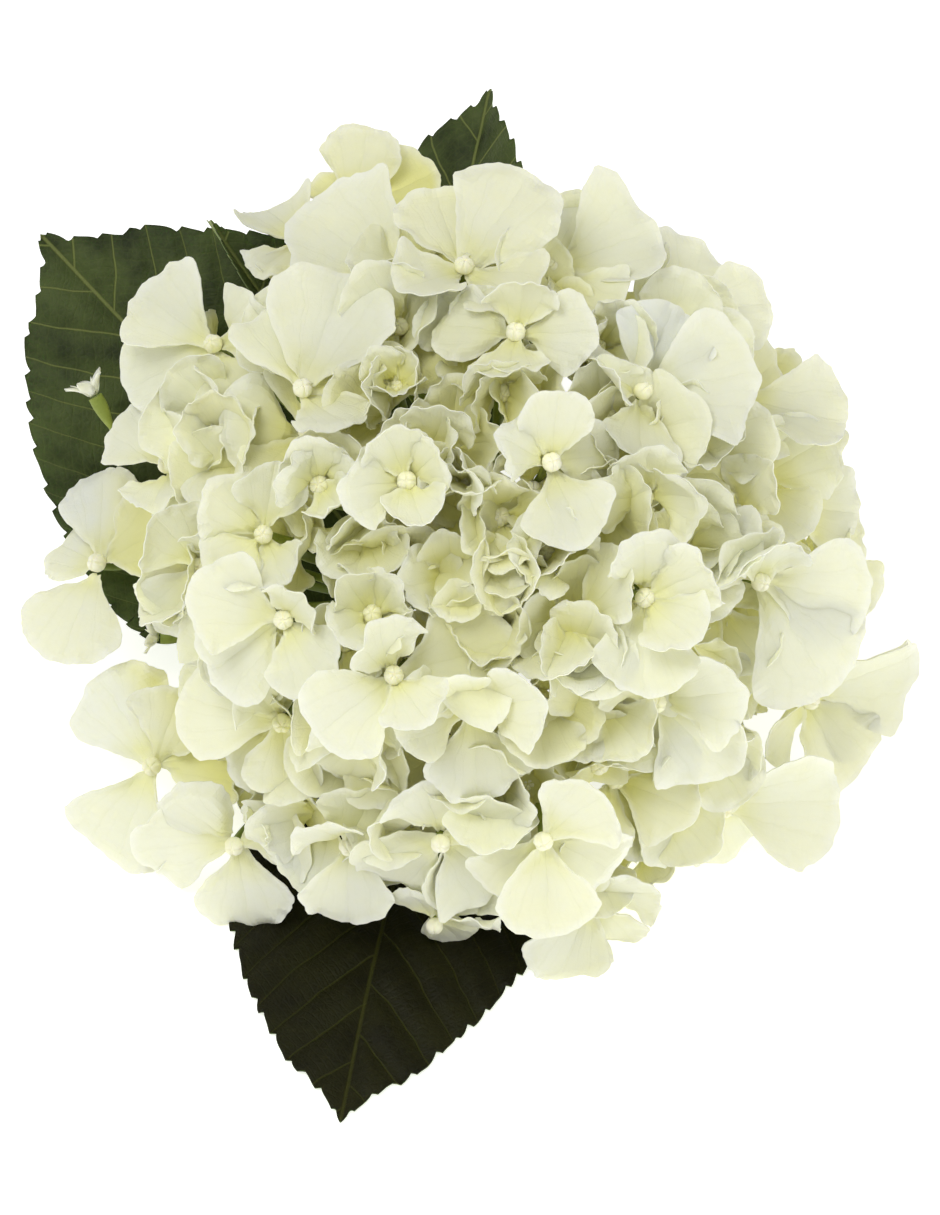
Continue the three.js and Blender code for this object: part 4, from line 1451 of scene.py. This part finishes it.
def grow_leaf(name, leaf, sizes, material):
    """A serrated blade with sunk veins, and the petiole that carries it."""
    rows, columns = LEAF_ROWS, LEAF_COLUMNS
    small = leaf["half_width"] < SMALL_LEAF
    spine, length = curve_points(leaf["midrib"], rows + 1)
    spine = np.array(spine)
    ahead = np.gradient(spine, axis=0)
    ahead /= np.linalg.norm(ahead, axis=1)[:, None]
    across = np.cross(ahead, np.array(leaf["face"]))
    across /= np.linalg.norm(across, axis=1)[:, None]
    up = np.cross(across, ahead)
    share = np.linspace(0, 1, rows + 1)
    blade = leaf["blade"]
    along = np.clip((share - blade) / (1 - blade), 0, 1)
    shape = np.sin(np.pi * along**0.76) ** 0.74 * (1 - 0.2 * along**3)
    width = leaf["half_width"] * 1.04 * shape * (1 - 0.55 * ramp(along, 0.86, 0.98))
    in_blade = ramp(along, 0, 0.12)
    part = np.linspace(-1, 1, 2 * columns + 1)
    part = np.sign(part) * np.abs(part) ** 0.9
    y = ((share - blade) * length)[:, None]
    stretch = np.concatenate([[0], np.cumsum(np.hypot(np.diff(width), length / rows))])
    scale = 0.5 if small else 1.0
    stretch = stretch + np.sin(stretch * 0.61) + 0.8 * np.sin(stretch * 0.23)
    saw = (stretch / (sizes.tooth_spacing / MM * scale)) % 1.0
    tooth = (np.sin(saw * 1.9) - 0.5) * sizes.tooth_depth / MM * scale
    tooth = tooth * ramp(along, 0.03, 0.12) * ramp(along, 1.0, 0.96)
    margin = np.abs(part)[None, :] ** 14
    x = part[None, :] * np.maximum(width, 0.05)[:, None]
    x = x + np.sign(part)[None, :] * margin * tooth[:, None] * (0.6 if small else 1)
    slant = y + margin * (saw[:, None] - 0.5) * 1.6 * scale * in_blade[:, None]
    away = np.abs(x)
    phase = (y - away * VEIN_SLOPE - away**2 * VEIN_SWEEP) / VEIN_SPACING + np.where(x < 0, 0.5, 0.0)
    off = np.abs(phase % 1.0 - 0.5) * 2
    quilt = ramp(off, 0.02, 0.75) * ramp(away, 0.0, 5.0)
    rib = np.exp(-((away / 1.6) ** 2))
    depth = sizes.vein_depth / MM * scale
    relief = (quilt - 0.5) * depth * ramp(away, 0, 3) - rib * depth * 0.9
    wobble = np.array(
        [
            [noise.noise(Vector((px * 0.035, py * 0.03, leaf["half_width"]))) for px in row]
            for row, py in zip(x, y[:, 0])
        ]
    )
    edge = np.abs(part)[None, :]
    rise = leaf["fold"] - leaf["droop"] * edge
    lift = in_blade[:, None] * edge * rise * (width + PETIOLE_RADIUS)[:, None]
    lift = lift + wobble * edge**1.5 * leaf["buckle"] * in_blade[:, None]
    fade = 1 - 0.45 * edge**2
    lift = lift + relief * in_blade[:, None] * fade * np.minimum(1, width[:, None] / 12)
    if leaf["shade_painted"]:
        lift = lift + 0.9 * in_blade[:, None] * (quilt * 0.5 + 0.35)
    thick = sizes.leaf_thickness / MM / 2 * (1 - 0.45 * edge**3) * np.minimum(1, width[:, None] / 2 + 0.15)
    centre = spine[:, None, :] + across[:, None, :] * x[:, :, None]
    centre = centre + ahead[:, None, :] * (slant - y)[:, :, None]
    first = int(np.argmax(along > 0.004))
    pointed = width[first:] < 0.25
    last = int(np.argmax(pointed)) + first if pointed.any() else rows
    wide = 2 * columns + 1
    count = (last + 1 - first) * wide
    flat = np.stack([x * LEAF_UV + 0.5, np.broadcast_to(slant * LEAF_UV, x.shape)], axis=2)
    verts, below, uv = [], [], []
    for sign in (1, -1):
        layer = centre + up[:, None, :] * (lift + sign * thick)[:, :, None]
        verts.append(layer[first : last + 1].reshape(-1, 3))
        below.append(np.full(count, 0.0 if sign > 0 else 1.0))
        uv.append(flat[first : last + 1].reshape(-1, 2))
    faces = sheet_faces(last - first, wide)

    # The petiole runs on under the blade as its midrib, ever thinner.
    sides = PETIOLE_SIDES
    start = count * 2
    stalk_rows = list(range(0, rows + 1, PETIOLE_STEP))
    for r in stalk_rows:
        bare = 1 - in_blade[r]
        thin = 0.98 * bare + (1 - bare) * (0.75 * (1 - along[r]) + 0.12)
        radius = PETIOLE_RADIUS * thin * (0.7 if small else 1)
        sink = -(1 - bare) * radius * 0.95
        flare = 1 + 0.35 * math.exp(-share[r] * length / 3.0)
        middle = spine[r] + up[r] * (sink + (lift[r, columns] if bare < 1 else 0))
        if leaf["shade_painted"] and bare < 1:
            radius = min(radius, 0.45 + bare)
            middle = spine[r] + up[r] * (lift[r, columns] - 0.15)
        for s in range(sides):
            angle = 2 * math.pi * s / sides
            groove = 1 - 0.18 * max(0.0, math.sin(angle)) ** 3
            point = middle + across[r] * radius * flare * math.cos(angle)
            point = point + up[r] * radius * flare * groove * math.sin(angle)
            verts.append(point[None, :])
        below.append(np.full(sides, 0.55))
        uv.append(np.tile([[0.5, share[r] * length * LEAF_UV]], (sides, 1)))
    for k in range(len(stalk_rows) - 1):
        for s in range(sides):
            a, b = start + k * sides + s, start + k * sides + (s + 1) % sides
            faces.append((a, b, b + sides, a + sides))
    faces.append(tuple(start + s for s in range(sides - 1, -1, -1)))
    end = start + (len(stalk_rows) - 1) * sides
    faces.append(tuple(end + s for s in range(sides)))
    points = np.concatenate(verts) * MM + np.array(ORIGIN)
    mesh = bpy.data.meshes.new(name)
    mesh.from_pydata(points.tolist(), [], faces)
    shaded = mesh.attributes.new("below", "FLOAT", "POINT")
    shaded.data.foreach_set("value", np.concatenate(below).astype(np.float32))
    flat_uv = np.concatenate(uv)
    loops = np.empty(len(mesh.loops), np.int32)
    mesh.loops.foreach_get("vertex_index", loops)
    mesh.uv_layers.new(name="UVMap").data.foreach_set("uv", flat_uv[loops].astype(np.float32).ravel())
    mesh.polygons.foreach_set("use_smooth", [True] * len(mesh.polygons))
    mesh.materials.append(material)
    mesh.validate()
    piece = bpy.data.objects.new(name, mesh)
    bpy.context.scene.collection.objects.link(piece)
    return piece


class HYDRANGEA_OT_leaves(bpy.types.Operator):
    """Grow the four leaves"""

    bl_idname = "hydrangea.leaves"
    bl_label = "Leaves"

    def execute(self, context):
        sizes, colours = settings()
        light = leaf_material(
            "grown leaf",
            colours.leaf,
            colours.leaf_deep,
            colours.leaf_vein,
            colours.leaf_under,
            colours.under_vein,
            0.75,
        )
        # A copy of the leaf material in darker colours, as painted shade for the leaf under the head.
        shade_painted = leaf_material(
            "grown dark leaf",
            colours.dark_leaf,
            colours.painted_shade_leaf_deep,
            colours.painted_shade_leaf_vein,
            colours.leaf_under,
            colours.under_vein,
            0.5,
        )
        for node, leaf in LEAVES.items():
            piece = grow_leaf("veined_" + node, leaf, sizes, shade_painted if leaf["shade_painted"] else light)
            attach(piece, "root")
            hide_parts(node)
        return {"FINISHED"}


STAR_REACH = {"unopened_upper": 6.4, "unopened_lower": 4.4}
FERTILE_STALK = 0.75  # millimetres of radius
LINE_POINTS = 41
SWOLLEN_POINTS = 7  # at the end of the line, under the star


class HYDRANGEA_OT_unopened(bpy.types.Operator):
    """Grow the two small fertile florets on their own curved stalks"""

    bl_idname = "hydrangea.unopened"
    bl_label = "Unopened florets"

    def execute(self, context):
        sizes, colours = settings()
        draw = random.Random(sizes.seed + 2)
        stalks = branch_tree()
        for node, curve in UNOPENED.items():
            points = [in_head(*point) for point in curve]
            rise = (points[0] - nearest_fork(points[0])).normalized()
            line, _ = curve_points([points[0], points[0] + rise * 5, *points[1:]], LINE_POINTS)
            radii = [FERTILE_STALK + 0.15 * (k == 0) for k in range(LINE_POINTS)]
            for k in range(SWOLLEN_POINTS):
                swelling = 1.3 * math.sin((k + 1) / SWOLLEN_POINTS * math.pi * 0.62)
                radii[k - SWOLLEN_POINTS] = FERTILE_STALK + swelling
            path = [(laid(p), r * MM) for p, r in zip(line, radii)]
            piece = plant(
                "fertile_" + node,
                paths_mesh("fertile_" + node, [path]),
                stalks,
                {"Sides": 14, "Unevenness": 0.08, "Material": green_stalk()},
            )
            harvest([piece])
            tip = Vector(line[-1])
            ahead = Vector(line[-1] - line[-3]).normalized()
            add_star(piece, tip, ahead, STAR_REACH[node], draw, colours)
            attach(piece, "root")
            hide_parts(node)
        return {"FINISHED"}


def add_star(piece, tip, ahead, reach, draw, colours):
    """Add five small pointed petals and a few stamens to the end of a stalk."""
    side = ahead.orthogonal().normalized()
    across = ahead.cross(side)
    verts, faces = [], []
    steps, wide = 6, 4

    def blade(turn, cup, length, half, thick):
        out = side * math.cos(turn) + across * math.sin(turn)
        flank = ahead.cross(out)
        base = len(verts)
        for layer in (0.5, -0.5):
            for r in range(steps + 1):
                share = r / steps
                angle = cup - 0.9 * share
                centre = out * (1.1 + length * share * math.cos(angle * 0.5 + cup * 0.5)) + ahead * (
                    length * share * math.sin(cup - 0.35 * share) + 0.6
                )
                width = half * math.sin(math.pi * (0.15 + 0.85 * share) ** 0.8) ** 0.8 + 0.05
                for c in range(wide + 1):
                    part = 2 * c / wide - 1
                    verts.append(
                        tip
                        + centre
                        + flank * width * part
                        + ahead * (0.35 * part * part * half + layer * thick * (1 - 0.6 * share))
                    )
        faces.extend(sheet_faces(steps, wide + 1, base))

    for k in range(5):
        blade(2 * math.pi * k / 5 + draw.uniform(-0.1, 0.1), draw.uniform(0.8, 1.25), reach, 1.9, 0.5)
    for k in range(4):
        blade(2 * math.pi * (k + 0.4) / 4, 1.35, reach * draw.uniform(0.7, 0.95), 0.28, 0.4)
    mesh = bpy.data.meshes.new("star")
    mesh.from_pydata([laid(p) for p in verts], [], faces)
    mesh.polygons.foreach_set("use_smooth", [True] * len(mesh.polygons))
    mesh.materials.append(
        shared_material("white star", lambda: bud_material("white star", colours, colours.petal_margin_and_highlight))
    )
    join_mesh(piece, mesh)


def join_mesh(piece, mesh):
    """Add a mesh with its own material to a piece."""
    other = bpy.data.objects.new("joined", mesh)
    bpy.context.scene.collection.objects.link(other)
    both = [piece, other]
    with bpy.context.temp_override(
        active_object=piece, object=piece, selected_objects=both, selected_editable_objects=both
    ):
        bpy.ops.object.join()


# ---- Stage ----

FLOOR_SIDE = 8.0
FLOOR_SQUARES = 24  # along each side of the floor
FLOOR_GAP = 0.0003  # metres between the flower and the floor
SKY_STRENGTH = 0.46
SENSOR = 36  # millimetres
VIEW_HEIGHT = 0.3159  # metres that the camera sees from bottom to top, at its target

# Name, place from the head along the camera's axes, side, power in watts and colour.
LIGHTS = [
    ("key", (-0.6, 0.75, 1.5), 0.9, 13.5, (1.0, 1.0, 0.985)),
    ("fill", (1.2, -0.5, 1.2), 1.8, 9, (1.0, 1.0, 0.99)),
]


def area_light(name, location, target, size, energy, colour):
    data = bpy.data.lights.new(name, "AREA")
    data.shape = "SQUARE"
    data.size = size
    data.energy = energy
    data.color = colour
    light = bpy.data.objects.new(name, data)
    light.location = location
    light.rotation_mode = "QUATERNION"
    light.rotation_quaternion = (Vector(target) - Vector(location)).to_track_quat("-Z", "Y")
    bpy.context.scene.collection.objects.link(light)


class HYDRANGEA_OT_stage(bpy.types.Operator):
    """Set up the floor, the lights and the camera"""

    bl_idname = "hydrangea.stage"
    bl_label = "Stage"

    def execute(self, context):
        sizes, colours = settings()
        scene = context.scene
        side, count = FLOOR_SIDE, FLOOR_SQUARES
        grid = [
            (side * (i / count - 0.5), side * (j / count - 0.5), 0.0)
            for j in range(count + 1)
            for i in range(count + 1)
        ]
        faces = [
            (a, a + 1, a + count + 2, a + count + 1)
            for j in range(count)
            for a in range(j * (count + 1), j * (count + 1) + count)
        ]
        mesh = bpy.data.meshes.new("floor")
        mesh.from_pydata(grid, [], faces)
        mesh.materials.append(floor_material(colours))
        floor = bpy.data.objects.new("floor", mesh)
        scene.collection.objects.link(floor)
        floor.data.transform(Matrix.Translation((0, 0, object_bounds()[0].z - FLOOR_GAP)))
        floor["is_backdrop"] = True

        world = bpy.data.worlds.new("soft studio")
        world.use_nodes = True
        graph = Graph(world.node_tree)
        sky = graph.add(
            "ShaderNodeBackground", None, {"Color": (1.0, 1.0, 1.0, 1.0), "Strength": SKY_STRENGTH}
        )
        graph.add("ShaderNodeOutputWorld", None, {"Surface": sky})
        scene.world = world
        scene.view_settings.view_transform = "Standard"
        scene.view_settings.look = "None"

        heart = laid(in_head(0, 0, 20))
        view = TILT.to_4x4()
        for name, place, size, watts, colour in LIGHTS:
            area_light(name, heart + view @ Vector(place), heart, size, watts, colour)

        # The camera looks straight down the head's axis.
        data = bpy.data.cameras.new("camera")
        camera = bpy.data.objects.new("camera", data)
        target = laid(in_head(-2.6, -12.35, 10))
        camera.matrix_world = Matrix.Translation(target + AXIS * sizes.camera_distance) @ view
        data.lens = SENSOR * sizes.camera_distance / VIEW_HEIGHT
        data.clip_start, data.clip_end = 0.05, 20
        scene.collection.objects.link(camera)
        scene.camera = camera
        return {"FINISHED"}


OPERATORS = [
    HYDRANGEA_OT_stage,
    HYDRANGEA_OT_stem,
    HYDRANGEA_OT_flower_stalk,
    HYDRANGEA_OT_leaves,
    HYDRANGEA_OT_unopened,
    HYDRANGEA_OT_florets,
    HYDRANGEA_OT_inner_florets,
]


class HYDRANGEA_PT_panel(bpy.types.Panel):
    """The flower's sizes, its colours and the buttons that grow it"""

    bl_label = "Hydrangea"
    bl_idname = "HYDRANGEA_PT_panel"
    bl_space_type = "VIEW_3D"
    bl_region_type = "UI"
    bl_category = "Hydrangea"

    def draw(self, context):
        for group in (context.scene.hydrangea_sizes, context.scene.hydrangea_colours):
            column = self.layout.column()
            for name in group.__annotations__:
                column.prop(group, name)
        for operator in OPERATORS:
            self.layout.operator(operator.bl_idname)


CLASSES = [HydrangeaSizes, HydrangeaColours, *OPERATORS, HYDRANGEA_PT_panel]


def register():
    for one in CLASSES:
        bpy.utils.register_class(one)
    bpy.types.Scene.hydrangea_sizes = PointerProperty(type=HydrangeaSizes)
    bpy.types.Scene.hydrangea_colours = PointerProperty(type=HydrangeaColours)


def unregister():
    del bpy.types.Scene.hydrangea_colours
    del bpy.types.Scene.hydrangea_sizes
    for one in reversed(CLASSES):
        bpy.utils.unregister_class(one)


def main():
    register()
    bpy.ops.hydrangea.stage()
    bpy.ops.hydrangea.stem()
    bpy.ops.hydrangea.flower_stalk()
    bpy.ops.hydrangea.leaves()
    bpy.ops.hydrangea.unopened()
    bpy.ops.hydrangea.florets()
    bpy.ops.hydrangea.inner_florets()
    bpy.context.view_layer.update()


if __name__ == "__main__":
    main()
